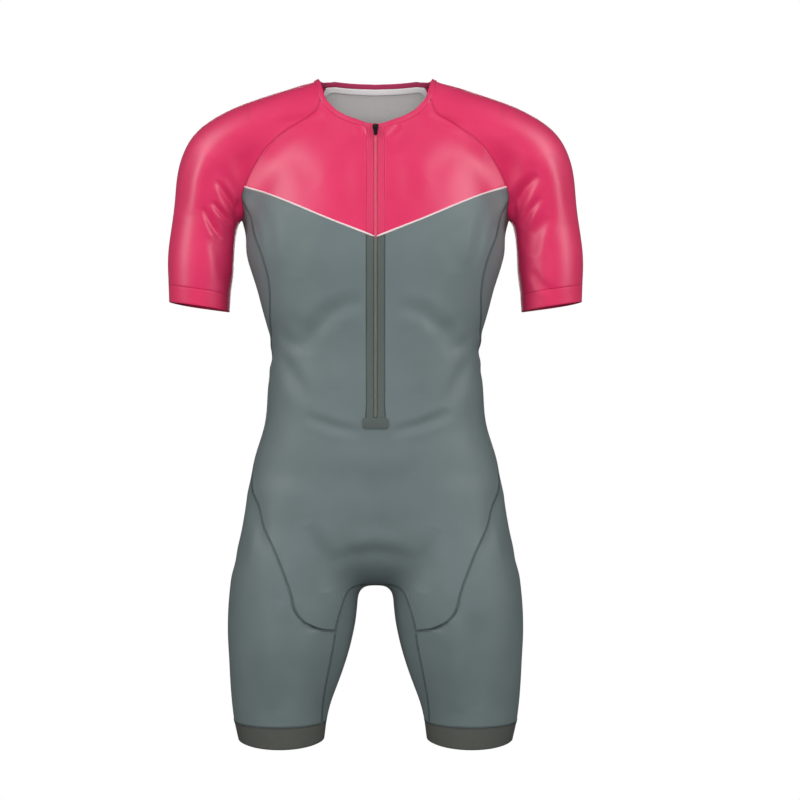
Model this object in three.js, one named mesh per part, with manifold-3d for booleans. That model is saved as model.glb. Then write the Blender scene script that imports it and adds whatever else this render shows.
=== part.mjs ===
// Short-sleeved one-piece triathlon suit, worn form with no wearer, in millimetres.
// +Z is up, the front faces -Y and the wearer's left side is +X.
// The origin is where the shoulders carry the suit, midway between the two shoulder tops.
import * as THREE from 'three';
import { mergeVertices } from 'three/addons/utils/BufferGeometryUtils.js';
import Module from 'manifold-3d';

// Driving sizes
const CLOTH = 2;
const BINDING = 2.6;
const BINDING_RISE = 0.3;
const TAPE = 1.2;
const TAPE_RISE = -0.2;
const NECK_TAPE = 1;
const LAID_GAP = 0.3;
const SEAM_GAP = 0.34;
const NECK_BINDING_WIDE = 7;
const NECK_TAPE_WIDE = 8.5;
const ZIP_STRIP_HALF = 12.5;
const ZIP_COIL_HALF = 2.35;
const ZIP_END_Z = -461;
const ZIP_TOP_Z = -53;
const COIL = { half: 2.05, crown: 1.2, deep: 1.4, shoulder: 0.3, proud: 0.9, end: -452.8 };
const END_TAB = { top: -453.5, bottom: -469, half: 17.5, thick: 1.2, faces: 4 };
const SLIDER = { z: -59.5, wide: 8, long: 9.5, foot: 6, thick: 2.1, low: 1.25, corner: 1.5 };
const BRIDGE = { reach: 3.2, high: 3.2, rounding: 0.6, window: 1.9, windowHigh: 2, thick: 1.8, sunk: 0.2 };
const PULL = { half: 2.5, long: 13, bar: 1.2, clear: 0.35, eyeHalf: 1.25, eyeLong: 4.4, corner: 1.2 };
const PIPING_WIDE = 2.6;
const PIPING_RISE = -0.3;
const PIPING_SIDES = 8;
const PIPING_START = 0.12;
const PIPING_STOP = 0.03;
const WAIST_ROW_Z = -461;
const HIP_ROW_Z = -575;
const BAND_TOP_Z = -877;
const LEG_HEM = { side: -903, frontDrop: 5 };
const CUFF_TOP_Z = -277;
const SLEEVE_HEM_Z = -300;
const SLEEVE_HEM_TILT = 0.156;
const CENTRE = 0;
const CUFF = { x: 246, reach: 44 };

// Torso sections: half width, and depth forward and backward of the side line
const TRUNK = [
  { z: -40, wide: 120, front: 48, back: 74 },
  { z: -75, wide: 152, front: 73, back: 90 },
  { z: -110, wide: 168, front: 90, back: 104 },
  { z: -150, wide: 177, front: 103, back: 113 },
  { z: -190, wide: 181, front: 112, back: 118 },
  { z: -230, wide: 180, front: 113, back: 116 },
  { z: -262, wide: 169.5, front: 110, back: 111 },
  { z: -304, wide: 158, front: 105, back: 103 },
  { z: -335, wide: 149.5, front: 101, back: 97 },
  { z: -366, wide: 144.5, front: 98, back: 93 },
  { z: -402, wide: 149, front: 97, back: 91 },
  { z: -444, wide: 152, front: 97, back: 94 },
  { z: -472, wide: 156, front: 97, back: 100 },
  { z: -500, wide: 165.5, front: 97, back: 108 },
  { z: -540, wide: 174.5, front: 96, back: 117 },
  { z: -580, wide: 179, front: 94, back: 121 },
  { z: -610, wide: 178, front: 90, back: 119 },
  { z: -650, wide: 178, front: 84, back: 112 },
];
const TRUNK_POWER = 2.35;
const TRUNK_TOP = { z: -75, reach: 84 };
const TRUNK_BOTTOM = { z: -600, reach: 88 };
const TRUNK_END_POWER = 2.2;

// Shoulder and sleeve sections along their bent axis, from the middle of the neck to past the cuff
const ARM = [
  { x: 0, z: -36, outer: 53, inner: 50, front: 46, back: 58 },
  { x: 60, z: -37, outer: 52.5, inner: 50, front: 49, back: 61 },
  { x: 115, z: -46, outer: 50.8, inner: 50, front: 56, back: 64 },
  { x: 164, z: -61, outer: 48.5, inner: 50, front: 60, back: 64 },
  { x: 197, z: -78, outer: 51, inner: 50, front: 61, back: 63 },
  { x: 215, z: -100, outer: 55.4, inner: 49, front: 61, back: 62 },
  { x: 225, z: -127, outer: 53.2, inner: 47, front: 60, back: 60 },
  { x: 232, z: -158, outer: 49, inner: 45, front: 57, back: 57 },
  { x: 239, z: -190, outer: 45.2, inner: 44.8, front: 54, back: 54 },
  { x: 243, z: -220, outer: 45.6, inner: 45.6, front: 53, back: 53 },
  { x: 244.5, z: -250, outer: 45.4, inner: 45.6, front: 52, back: 52 },
  { x: 246, z: -290, outer: 42.6, inner: 42.4, front: 49, back: 49 },
  { x: 246.5, z: -340, outer: 41, inner: 41, front: 47, back: 47 },
];
const ARM_POWER = 2.05;
const AXIS_STEPS_PER_ROW = 4;
const ARM_FADE_Z = -420;

// Leg sections: centre line, half width, and depth forward and backward
const LEG = [
  { z: -540, x: 96, wide: 66, front: 78, back: 96 },
  { z: -580, x: 99, wide: 73, front: 82, back: 101 },
  { z: -610, x: 103, wide: 81, front: 86, back: 104 },
  { z: -640, x: 107.5, wide: 86, front: 89, back: 105 },
  { z: -680, x: 112.5, wide: 89, front: 91, back: 103 },
  { z: -710, x: 115, wide: 90, front: 91, back: 100 },
  { z: -738, x: 117.2, wide: 89.2, front: 89, back: 96 },
  { z: -766, x: 119.8, wide: 86.2, front: 86, back: 91 },
  { z: -794, x: 122.9, wide: 81.5, front: 81, back: 85 },
  { z: -822, x: 127, wide: 76, front: 76, back: 79 },
  { z: -850, x: 131.2, wide: 69.6, front: 71, back: 73 },
  { z: -878, x: 133, wide: 64.4, front: 67, back: 68 },
  { z: -910, x: 131.2, wide: 58.8, front: 63, back: 64 },
];
const LEG_POWER = 2.1;
const LEG_FADE = { from: -480, to: -560, away: 60 };

const NECK = { wide: 68, deep: 55, y: 6, flare: 0.2 };
const NECK_FADE = { from: -60, to: -140, away: 80 };

// How softly the tubes run into each other
const BLEND = { crotch: 22, betweenLegs: 30, neck: 24, armpit: 14, shoulder: 44 };
const ARMPIT_BLEND = { low: -205, high: -118 };

// Largest folds: soft troughs in the cloth along straight lines
const FOLD_REACH = 3;
const FOLDS = [
  { from: [218, -55, -124], to: [190, -36, -170], deep: 4, wide: 10 },
  { from: [230, -52, -166], to: [206, -34, -206], deep: 3, wide: 10 },
  { from: [215, 58, -126], to: [191, 38, -172], deep: 4, wide: 11 },
  { from: [146, -30, -344], to: [96, -88, -338], deep: 3, wide: 12 },
  { from: [140, 30, -372], to: [40, 90, -384], deep: 3.5, wide: 12 },
  { from: [118, 96, -640], to: [60, 92, -668], deep: 4, wide: 14 },
];

// Neck edge of one half, from the zip round to the centre back
const NECK_EDGE = [
  { x: 12.5, y: -66, z: -51.5 },
  { x: 41, y: -58, z: -40 },
  { x: 55, y: -54, z: -31 },
  { x: 64, y: -51, z: -21 },
  { x: 69, y: -48, z: -14.5 },
  { x: 73, y: -38, z: 0 },
  { x: 77, y: -20, z: 13 },
  { x: 79, y: 0, z: 18 },
  { x: 76, y: 20, z: 18 },
  { x: 68, y: 38, z: 17.5 },
  { x: 52, y: 52, z: 17 },
  { x: 28, y: 62, z: 16 },
  { x: 0, y: 66, z: 15.5 },
];
const NECK_AT_FRONT_RAGLAN = 4;
const NECK_AT_BACK_RAGLAN = 9;

// Seams as they are seen from the front or the back
const RAGLAN_FRONT = [
  { x: 80, z: -31 },
  { x: 110, z: -52 },
  { x: 146, z: -81 },
  { x: 157, z: -95 },
  { x: 166.5, z: -109 },
  { x: 176, z: -124 },
];
const VEE_END = { x: 180.6, z: -136 };
const SIDE_TOP_FRONT = { x: 184.8, z: -152 };
const RAGLAN_BACK = [
  { x: 88, z: -10 },
  { x: 112, z: -38 },
  { x: 138, z: -69 },
  { x: 157, z: -96 },
  { x: 170, z: -119 },
];
const YOKE_BACK_END = { x: 179, z: -138 };
const SIDE_TOP_BACK = { x: 185, z: -155 };
const ARMPIT = { x: 187, below: -240, search: 120, share: 0.55 };
const VEE = [
  { x: 2.35, z: -210.6 },
  { x: 12.5, z: -206.6 },
  { x: 64, z: -186 },
  { x: 115, z: -163 },
  { x: 155, z: -145 },
];
const YOKE_BACK = [
  { x: 0, z: -178 },
  { x: 60, z: -172 },
  { x: 120, z: -157 },
  { x: 158, z: -145 },
];

// Side seams as a turn round the torso, 0 degrees at the front and 90 at the side
const SIDE_FRONT = [
  { z: -205, turn: 71.3 },
  { z: -235, turn: 66.5 },
  { z: -266, turn: 66.3 },
  { z: -293, turn: 68.5 },
  { z: -326, turn: 75.5 },
  { z: -350, turn: 82 },
  { z: -372, turn: 86.5 },
  { z: -420, turn: 88.3 },
];
const SIDE_FRONT_AT_WAIST = 88.2;
const HIP_SIDE_FRONT = [
  { z: -500, turn: 87 },
  { z: -545, turn: 80 },
];
const SIDE_BACK = [
  { z: -205, turn: 109 },
  { z: -235, turn: 114 },
  { z: -266, turn: 114 },
  { z: -293, turn: 112 },
  { z: -326, turn: 106 },
  { z: -350, turn: 101 },
  { z: -372, turn: 98 },
  { z: -420, turn: 97 },
];
const SIDE_BACK_AT_WAIST = 97;
const HIP_SIDE_BACK = [
  { z: -500, turn: 98 },
  { z: -545, turn: 103 },
];

// Thigh seam that swings from the hip to the inner leg, and the seams of the inner leg
const HIP_FRONT = { x: 160, z: HIP_ROW_Z };
const THIGH_FRONT_UPPER = [
  { x: 154, z: -599 },
  { x: 139.5, z: -627 },
  { x: 124.5, z: -663 },
];
const THIGH_FRONT_BEND = { x: 114.5, z: -691 };
const THIGH_FRONT_LOWER = [
  { x: 108.5, z: -714 },
  { x: 98, z: -728 },
  { x: 82, z: -738 },
];
const THIGH_FRONT_END = { x: 55, z: -745.5 };
const HIP_BACK = { x: 157, z: HIP_ROW_Z };
const THIGH_BACK_UPPER = [
  { x: 151, z: -600 },
  { x: 137, z: -628 },
  { x: 122, z: -664 },
];
const THIGH_BACK_BEND = { x: 113, z: -692 };
const THIGH_BACK_LOWER = [
  { x: 107, z: -714 },
  { x: 97, z: -729 },
  { x: 81, z: -739 },
];
const THIGH_BACK_END = { x: 57, z: -747 };
const CROTCH_FRONT = { x: 0, y: -27, z: -686 };
const INNER_FRONT_UPPER = [
  { x: 15, y: -34, z: -684 },
  { x: 28.5, y: -44, z: -686 },
  { x: 38, y: -54, z: -694 },
  { x: 49, y: -62, z: -718 },
];
const INNER_FRONT_LOWER = [
  { x: 59.5, y: -59, z: -777 },
  { x: 65.6, y: -54, z: -803 },
  { x: 72, y: -43, z: -842 },
];
const CROTCH_BACK = { x: 0, y: 45, z: -684 };
const INNER_BACK_UPPER = [
  { x: 15, y: 50, z: -682 },
  { x: 28, y: 58, z: -684 },
  { x: 38, y: 65, z: -693 },
  { x: 49, y: 70, z: -718 },
];
const INNER_BACK_LOWER = [
  { x: 61, y: 66, z: -777 },
  { x: 67, y: 59, z: -803 },
  { x: 73, y: 47, z: -842 },
];
const CROTCH_LINE_FRONT = [
  { x: 0, y: -90, z: -606 },
  { x: 0, y: -80, z: -638 },
  { x: 0, y: -62, z: -664 },
];
const CROTCH_LINE_BACK = [
  { x: 0, y: 118, z: -608 },
  { x: 0, y: 104, z: -640 },
  { x: 0, y: 80, z: -666 },
];
const CROTCH_LINE_UNDER = [
  { x: 0, y: 8, z: -689 },
];
const BAND_FRONT_TURN = -63;
const BAND_BACK_TURN = -127;
const STRIP_FRONT_TURN = 58;
const STRIP_BACK_TURN = 122;

// How many faces each stretch of seam gets
const FRONT_WIDE = 8;
const BACK_WIDE = 9;
const YOKE_TALL = 8;
const SHOULDER_TOP = 4;
const UNDERARM = 2;
const BODY_TALL = 12;
const HIP_TALL = 5;
const THIGH_UPPER = 6;
const THIGH_LOWER = 6;
const LOWER_LEG = 6;
const GUSSET_WIDE = 4;
const SLEEVE_LONG = 13;
const CUFF_TALL = 1;

const COLOURS = {
  pink: 0xe04468,
  cuffPink: 0xd93d62,
  bindingPink: 0xc23058,
  grey: 0x6c7a7b,
  gripper: 0x4c4f4a,
  white: 0xe6e2e2,
  zipPink: 0xcb3558,
  zipGrey: 0x555d5b,
  coil: 0x8a7d78,
  dark: 0x34383a,
};

// Form of the worn suit

const slopeStore = new Map();
const TINY = 1e-6;

function slopesOf(table, column, key) {
  const last = table.length - 1;
  return table.map((row, i) => {
    const low = table[Math.max(i - 1, 0)];
    const high = table[Math.min(i + 1, last)];
    return (high[column] - low[column]) / (high[key] - low[key]);
  });
}

// Reads a column of a table at any place between its rows, along a smooth curve
function read(table, column, key, at) {
  if (!slopeStore.has(table)) slopeStore.set(table, {});
  const stored = slopeStore.get(table);
  if (!stored[column]) stored[column] = slopesOf(table, column, key);
  const slopes = stored[column];
  const falling = table[1][key] < table[0][key];
  const last = table.length - 2;
  let i = 0;
  while (i < last && (falling ? at < table[i + 1][key] : at > table[i + 1][key])) i += 1;
  const a = table[i];
  const b = table[i + 1];
  const span = b[key] - a[key];
  const t = THREE.MathUtils.clamp((at - a[key]) / span, 0, 1);
  const t2 = t * t;
  const t3 = t2 * t;
  const fromA = (2 * t3 - 3 * t2 + 1) * a[column] + (t3 - 2 * t2 + t) * span * slopes[i];
  const fromB = (3 * t2 - 2 * t3) * b[column] + (t3 - t2) * span * slopes[i + 1];
  return fromA + fromB;
}

function smoothMin(a, b, reach) {
  const share = Math.max(reach - Math.abs(a - b), 0) / reach;
  return Math.min(a, b) - share * share * reach / 4;
}

const fadeBetween = (z, { from, to, away }) => away * THREE.MathUtils.smoothstep(-z, -from, -to);

// Distance outside an oval, negative inside
function oval(x, y, wide, deep, power) {
  const share = (Math.abs(x / wide) ** power + Math.abs(y / deep) ** power) ** (1 / power);
  const inner = -Math.min(wide, deep);
  return share < TINY ? inner : Math.max(Math.hypot(x, y) * (1 - 1 / share), inner);
}

function trunkAt(x, y, z) {
  const wide = read(TRUNK, 'wide', 'z', z);
  const deep = read(TRUNK, y < 0 ? 'front' : 'back', 'z', z);
  const up = Math.max(z - TRUNK_TOP.z, 0);
  const down = Math.max(TRUNK_BOTTOM.z - z, 0);
  const end = (up / TRUNK_TOP.reach) ** TRUNK_END_POWER + (down / TRUNK_BOTTOM.reach) ** TRUNK_END_POWER;
  const round = Math.abs(x / wide) ** TRUNK_POWER + Math.abs(y / deep) ** TRUNK_POWER;
  const share = (round + end) ** (1 / TRUNK_POWER);
  return share < TINY ? -wide : Math.hypot(x, y, up, down) * (1 - 1 / share);
}

function legAt(x, y, z) {
  const centre = read(LEG, 'x', 'z', z);
  const wide = read(LEG, 'wide', 'z', z);
  const deep = read(LEG, y < 0 ? 'front' : 'back', 'z', z);
  return oval(x - centre, y, wide, deep, LEG_POWER);
}

const armPoints = ARM.map(({ x, z }) => new THREE.Vector3(x, 0, z));
const armCurve = new THREE.CatmullRomCurve3(armPoints, false, 'centripetal');
const ARM_ROWS = ARM.map((section, row) => ({ ...section, row }));
const LAST_ARM_ROW = ARM.length - 1;
const armAxis = [];
for (let i = 0; i <= LAST_ARM_ROW * AXIS_STEPS_PER_ROW; i += 1) {
  const p = armCurve.getPoint(i / (LAST_ARM_ROW * AXIS_STEPS_PER_ROW));
  armAxis.push({ x: p.x, z: p.z, row: i / AXIS_STEPS_PER_ROW });
}

// Nearest place on the sleeve's axis: its row and the distance to the outer side of it
function nearestOnArm(x, z) {
  let nearest = { squared: Infinity, row: 0, out: 0 };
  for (let i = 0; i < armAxis.length - 1; i += 1) {
    const a = armAxis[i];
    const b = armAxis[i + 1];
    const runX = b.x - a.x;
    const runZ = b.z - a.z;
    const squaredRun = runX * runX + runZ * runZ;
    const t = THREE.MathUtils.clamp(((x - a.x) * runX + (z - a.z) * runZ) / squaredRun, 0, 1);
    const offX = x - a.x - t * runX;
    const offZ = z - a.z - t * runZ;
    const squared = offX * offX + offZ * offZ;
    if (squared < nearest.squared) {
      const side = Math.sign(runX * offZ - runZ * offX);
      nearest = { squared, row: a.row + t * (b.row - a.row), out: side * Math.sqrt(squared) };
    }
  }
  return nearest;
}

function armAt(x, y, z) {
  const { row, out } = nearestOnArm(x, z);
  const reach = read(ARM_ROWS, out > 0 ? 'outer' : 'inner', 'row', row);
  const deep = read(ARM_ROWS, y < 0 ? 'front' : 'back', 'row', row);
  return oval(out, y, reach, deep, ARM_POWER);
}

function neckAt(x, y, z) {
  const flare = Math.max(0, -z) * NECK.flare;
  return oval(x, y - NECK.y, NECK.wide + flare, NECK.deep + flare, 2);
}

const foldLines = FOLDS.map(({ from, to, deep, wide }) => ({
  line: new THREE.Line3(new THREE.Vector3(...from), new THREE.Vector3(...to)),
  deep,
  wide,
}));

function foldDepth(x, y, z) {
  const p = new THREE.Vector3(x, y, z);
  const near = new THREE.Vector3();
  let depth = 0;
  for (const { line, deep, wide } of foldLines) {
    const away = line.closestPointToPoint(p, true, near).distanceTo(p) / wide;
    if (away < FOLD_REACH) depth += deep * Math.exp(-away * away);
  }
  return depth;
}

// Distance outside the suit's outer face, negative inside it
function figure(anyX, y, z) {
  const x = Math.abs(anyX);
  let form = trunkAt(x, y, z);
  if (z < LEG_FADE.from) {
    const legs = smoothMin(legAt(x, y, z), legAt(-x, y, z), BLEND.betweenLegs);
    const fade = LEG_FADE.away - fadeBetween(z, LEG_FADE);
    form = smoothMin(form, legs + fade, BLEND.crotch);
  }
  if (z > ARM_FADE_Z) {
    const rise = THREE.MathUtils.smoothstep(z, ARMPIT_BLEND.low, ARMPIT_BLEND.high);
    form = smoothMin(form, armAt(x, y, z), THREE.MathUtils.lerp(BLEND.armpit, BLEND.shoulder, rise));
  }
  if (z > NECK_FADE.to) form = smoothMin(form, neckAt(x, y, z) + fadeBetween(z, NECK_FADE), BLEND.neck);
  return form + foldDepth(x, y, z);
}

const PROBE = 0.4;
const SETTLED = 1e-4;
const SETTLE_TRIES = 12;
const LONGEST_STEP = 15;
const SEARCH_STEP = 3;
const HALVINGS = 20;

function gradientAt(p) {
  return new THREE.Vector3(
    figure(p.x + PROBE, p.y, p.z) - figure(p.x - PROBE, p.y, p.z),
    figure(p.x, p.y + PROBE, p.z) - figure(p.x, p.y - PROBE, p.z),
    figure(p.x, p.y, p.z + PROBE) - figure(p.x, p.y, p.z - PROBE),
  ).divideScalar(2 * PROBE);
}

const outwardAt = (p) => gradientAt(p).normalize();

// Moves a point straight onto the suit's outer face
function settle(start) {
  const p = start.clone();
  for (let i = 0; i < SETTLE_TRIES; i += 1) {
    const miss = figure(p.x, p.y, p.z);
    if (Math.abs(miss) < SETTLED) break;
    const slope = gradientAt(p);
    const step = THREE.MathUtils.clamp(miss / slope.lengthSq(), -LONGEST_STEP, LONGEST_STEP);
    p.addScaledVector(slope, -step);
    if (start.x === CENTRE) p.x = CENTRE;
  }
  return p;
}

// First place where a straight line crosses the outer face
function meet(start, direction, reach) {
  const at = (d) => start.clone().addScaledVector(direction, d);
  const insideAtStart = figure(start.x, start.y, start.z) < 0;
  const changed = (d) => {
    const p = at(d);
    return (figure(p.x, p.y, p.z) < 0) !== insideAtStart;
  };
  let far = SEARCH_STEP;
  while (far < reach && !changed(far)) far += SEARCH_STEP;
  let near = far - SEARCH_STEP;
  for (let i = 0; i < HALVINGS; i += 1) {
    const middle = (near + far) / 2;
    if (changed(middle)) far = middle;
    else near = middle;
  }
  return at(far);
}

const FORWARD = new THREE.Vector3(0, 1, 0);
const BACKWARD = new THREE.Vector3(0, -1, 0);
const UPWARD = new THREE.Vector3(0, 0, 1);
const ROOM = 200;
const TRUNK_SEARCH = 260;
const LIMB_SEARCH = 130;

const onFront = ({ x, z }) => meet(new THREE.Vector3(x, -ROOM, z), FORWARD, 2 * ROOM);
const onBack = ({ x, z }) => meet(new THREE.Vector3(x, ROOM, z), BACKWARD, 2 * ROOM);
const onForm = ({ x, y, z }) => settle(new THREE.Vector3(x, y, z));

function roundTrunk(turn, z) {
  const angle = THREE.MathUtils.degToRad(turn);
  const direction = new THREE.Vector3(Math.sin(angle), -Math.cos(angle), 0);
  return meet(new THREE.Vector3(CENTRE, 0, z), direction, TRUNK_SEARCH);
}

function roundLeg(turn, z) {
  const angle = THREE.MathUtils.degToRad(turn);
  const direction = new THREE.Vector3(Math.sin(angle), -Math.cos(angle), 0);
  return meet(new THREE.Vector3(read(LEG, 'x', 'z', z), 0, z), direction, LIMB_SEARCH);
}

// Round the sleeve: 0 degrees on its outer side, 90 at the front and 180 underneath
function roundArm(row, turn) {
  const centre = armCurve.getPoint(row / LAST_ARM_ROW);
  const along = armCurve.getTangent(row / LAST_ARM_ROW);
  const angle = THREE.MathUtils.degToRad(turn);
  const out = new THREE.Vector3(-along.z, 0, along.x).multiplyScalar(Math.cos(angle));
  out.y = -Math.sin(angle);
  return meet(centre, out, LIMB_SEARCH);
}

function placeOnArm(p) {
  const { row, out } = nearestOnArm(p.x, p.z);
  return { row, turn: THREE.MathUtils.radToDeg(Math.atan2(-p.y, out)) };
}

// Level ring low on the sleeve, tilted as the cuff is
function roundCuff(turn, level) {
  const angle = THREE.MathUtils.degToRad(turn);
  const z = level + SLEEVE_HEM_TILT * CUFF.reach * Math.cos(angle);
  const direction = new THREE.Vector3(Math.cos(angle), -Math.sin(angle), 0);
  return meet(new THREE.Vector3(CUFF.x, 0, z), direction, LIMB_SEARCH);
}

// Seam lines

const SAMPLES_PER_CONTROL = 40;

// Even steps along the part of a smooth curve between two of its control points
function stretch(controls, from, to, count) {
  const curve = new THREE.CatmullRomCurve3(controls, false, 'centripetal');
  const last = controls.length - 1;
  const fine = SAMPLES_PER_CONTROL * (to - from);
  const samples = [];
  const lengths = [0];
  for (let i = 0; i <= fine; i += 1) {
    samples.push(curve.getPoint((from + (to - from) * i / fine) / last));
    if (i > 0) lengths.push(lengths[i - 1] + samples[i].distanceTo(samples[i - 1]));
  }
  const line = [];
  let j = 0;
  for (let i = 0; i <= count; i += 1) {
    const wanted = lengths[fine] * i / count;
    while (j < fine - 1 && lengths[j + 1] < wanted) j += 1;
    const t = (wanted - lengths[j]) / (lengths[j + 1] - lengths[j]);
    line.push(samples[j].clone().lerp(samples[j + 1], t));
  }
  line[0] = controls[from].clone();
  line[count] = controls[to].clone();
  return line.map((p, i) => (i === 0 || i === count ? p : settle(p)));
}

const seam = (controls, count) => stretch(controls, 0, controls.length - 1, count);
const between = (a, b, count) => seam([a, a.clone().lerp(b, 0.5), b].map(settle), count);
const reversed = (line) => [...line].reverse();
const joined = (...lines) => lines.flatMap((line, i) => (i === 0 ? line : line.slice(1)));
const mirrored = (line) => line.map((p) => (p.x === CENTRE ? p : new THREE.Vector3(-p.x, p.y, p.z)));

function evenly(count, place) {
  return Array.from({ length: count + 1 }, (_, i) => place(i / count));
}

const trunkRow = (a, b, z, count) => evenly(count, (t) => roundTrunk(THREE.MathUtils.lerp(a, b, t), z));
const legRow = (a, b, z, count) => evenly(count, (t) => roundLeg(THREE.MathUtils.lerp(a, b, t), z));

// Neck edge, and the seam below the neck binding
const neckControls = NECK_EDGE.map(onForm);
const neckLast = neckControls.length - 1;
const neckEdge = {
  front: stretch(neckControls, 0, NECK_AT_FRONT_RAGLAN, FRONT_WIDE),
  shoulder: stretch(neckControls, NECK_AT_FRONT_RAGLAN, NECK_AT_BACK_RAGLAN, SHOULDER_TOP),
  back: stretch(neckControls, NECK_AT_BACK_RAGLAN, neckLast, BACK_WIDE),
};
const wholeNeckEdge = joined(neckEdge.front, neckEdge.shoulder, neckEdge.back);

// The same line moved away from the neck hole, along the cloth
function awayFromNeck(distance) {
  const last = wholeNeckEdge.length - 1;
  return wholeNeckEdge.map((p, i) => {
    const along = wholeNeckEdge[Math.min(i + 1, last)].clone().sub(wholeNeckEdge[Math.max(i - 1, 0)]);
    if (i === last) along.set(-1, 0, 0);
    const away = along.cross(outwardAt(p)).normalize();
    const moved = settle(p.clone().addScaledVector(away, distance));
    if (i === 0) return onFront({ x: ZIP_STRIP_HALF, z: moved.z });
    if (i === last) moved.x = CENTRE;
    return moved;
  });
}

const underBinding = awayFromNeck(NECK_BINDING_WIDE);
const underNeckTape = awayFromNeck(NECK_BINDING_WIDE + NECK_TAPE_WIDE);
const frontNeck = underBinding.slice(0, FRONT_WIDE + 1);
const shoulderNeck = underBinding.slice(FRONT_WIDE, FRONT_WIDE + SHOULDER_TOP + 1);
const backNeck = underBinding.slice(FRONT_WIDE + SHOULDER_TOP);
const neckFrontCorner = frontNeck[FRONT_WIDE];
const neckBackCorner = backNeck[0];

// Armhole: raglan seams from the neck, down to the armpit
const veeEnd = onFront(VEE_END);
const sideTopFront = onFront(SIDE_TOP_FRONT);
const yokeBackEnd = onBack(YOKE_BACK_END);
const sideTopBack = onBack(SIDE_TOP_BACK);
const armpit = meet(new THREE.Vector3(ARMPIT.x, 0, ARMPIT.below), UPWARD, ARMPIT.search);
const armpitFront = settle(sideTopFront.clone().lerp(armpit, ARMPIT.share));
const armpitBack = settle(sideTopBack.clone().lerp(armpit, ARMPIT.share));
const raglanFrontControls = [
  neckFrontCorner, ...RAGLAN_FRONT.map(onFront), veeEnd, sideTopFront, armpitFront, armpit,
];
const raglanBackControls = [
  neckBackCorner, ...RAGLAN_BACK.map(onBack), yokeBackEnd, sideTopBack, armpitBack, armpit,
];
const veeAt = RAGLAN_FRONT.length + 1;
const yokeBackAt = RAGLAN_BACK.length + 1;
const raglanFront = {
  yoke: stretch(raglanFrontControls, 0, veeAt, YOKE_TALL),
  body: stretch(raglanFrontControls, veeAt, veeAt + 1, 1),
  under: stretch(raglanFrontControls, veeAt + 1, veeAt + 3, UNDERARM),
};
const raglanBack = {
  yoke: stretch(raglanBackControls, 0, yokeBackAt, YOKE_TALL),
  body: stretch(raglanBackControls, yokeBackAt, yokeBackAt + 1, 1),
  under: stretch(raglanBackControls, yokeBackAt + 1, yokeBackAt + 3, UNDERARM),
};

// Chest seam, and the seam under the back yoke
const veeControls = [...VEE.map(onFront), veeEnd];
const veeCentre = veeControls[0];
const veeAtZip = veeControls[1];
const vee = stretch(veeControls, 1, veeControls.length - 1, FRONT_WIDE);
const yokeBackSeam = seam([...YOKE_BACK.map(onBack), yokeBackEnd], BACK_WIDE);

// Side seams
const sideWaistFront = roundTrunk(SIDE_FRONT_AT_WAIST, WAIST_ROW_Z);
const sideWaistBack = roundTrunk(SIDE_BACK_AT_WAIST, WAIST_ROW_Z);
const hipFront = onFront(HIP_FRONT);
const hipBack = onBack(HIP_BACK);
const turnRow = ({ turn, z }) => roundTrunk(turn, z);
const sideFrontControls = [
  sideTopFront, ...SIDE_FRONT.map(turnRow), sideWaistFront, ...HIP_SIDE_FRONT.map(turnRow), hipFront,
  ...THIGH_FRONT_UPPER.map(onFront), onFront(THIGH_FRONT_BEND),
  ...THIGH_FRONT_LOWER.map(onFront), onFront(THIGH_FRONT_END),
];
const sideBackControls = [
  sideTopBack, ...SIDE_BACK.map(turnRow), sideWaistBack, ...HIP_SIDE_BACK.map(turnRow), hipBack,
  ...THIGH_BACK_UPPER.map(onBack), onBack(THIGH_BACK_BEND),
  ...THIGH_BACK_LOWER.map(onBack), onBack(THIGH_BACK_END),
];
const waistAt = SIDE_FRONT.length + 1;
const hipAt = waistAt + HIP_SIDE_FRONT.length + 1;
const bendAt = hipAt + THIGH_FRONT_UPPER.length + 1;
const thighEndAt = bendAt + THIGH_FRONT_LOWER.length + 1;

function sideLines(controls) {
  return {
    body: stretch(controls, 0, waistAt, BODY_TALL),
    hip: stretch(controls, waistAt, hipAt, HIP_TALL),
    upper: stretch(controls, hipAt, bendAt, THIGH_UPPER),
    lower: stretch(controls, bendAt, thighEndAt, THIGH_LOWER),
  };
}

const sideFront = sideLines(sideFrontControls);
const sideBack = sideLines(sideBackControls);
const thighFrontEnd = sideFront.lower[THIGH_LOWER];
const thighBackEnd = sideBack.lower[THIGH_LOWER];

// Inner leg seams, from the crotch to the top of the leg band
const crotchFront = onForm(CROTCH_FRONT);
const crotchBack = onForm(CROTCH_BACK);
const bandFront = roundLeg(BAND_FRONT_TURN, BAND_TOP_Z);
const bandBack = roundLeg(BAND_BACK_TURN, BAND_TOP_Z);

function innerLines(crotch, upper, thighEnd, lower, band) {
  const controls = [crotch, ...upper.map(onForm), thighEnd, ...lower.map(onForm), band];
  const at = upper.length + 1;
  return {
    upper: stretch(controls, 0, at, BACK_WIDE),
    lower: stretch(controls, at, controls.length - 1, LOWER_LEG),
  };
}

const innerFront = innerLines(crotchFront, INNER_FRONT_UPPER, thighFrontEnd, INNER_FRONT_LOWER, bandFront);
const innerBack = innerLines(crotchBack, INNER_BACK_UPPER, thighBackEnd, INNER_BACK_LOWER, bandBack);

// Cloth between seams

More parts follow.
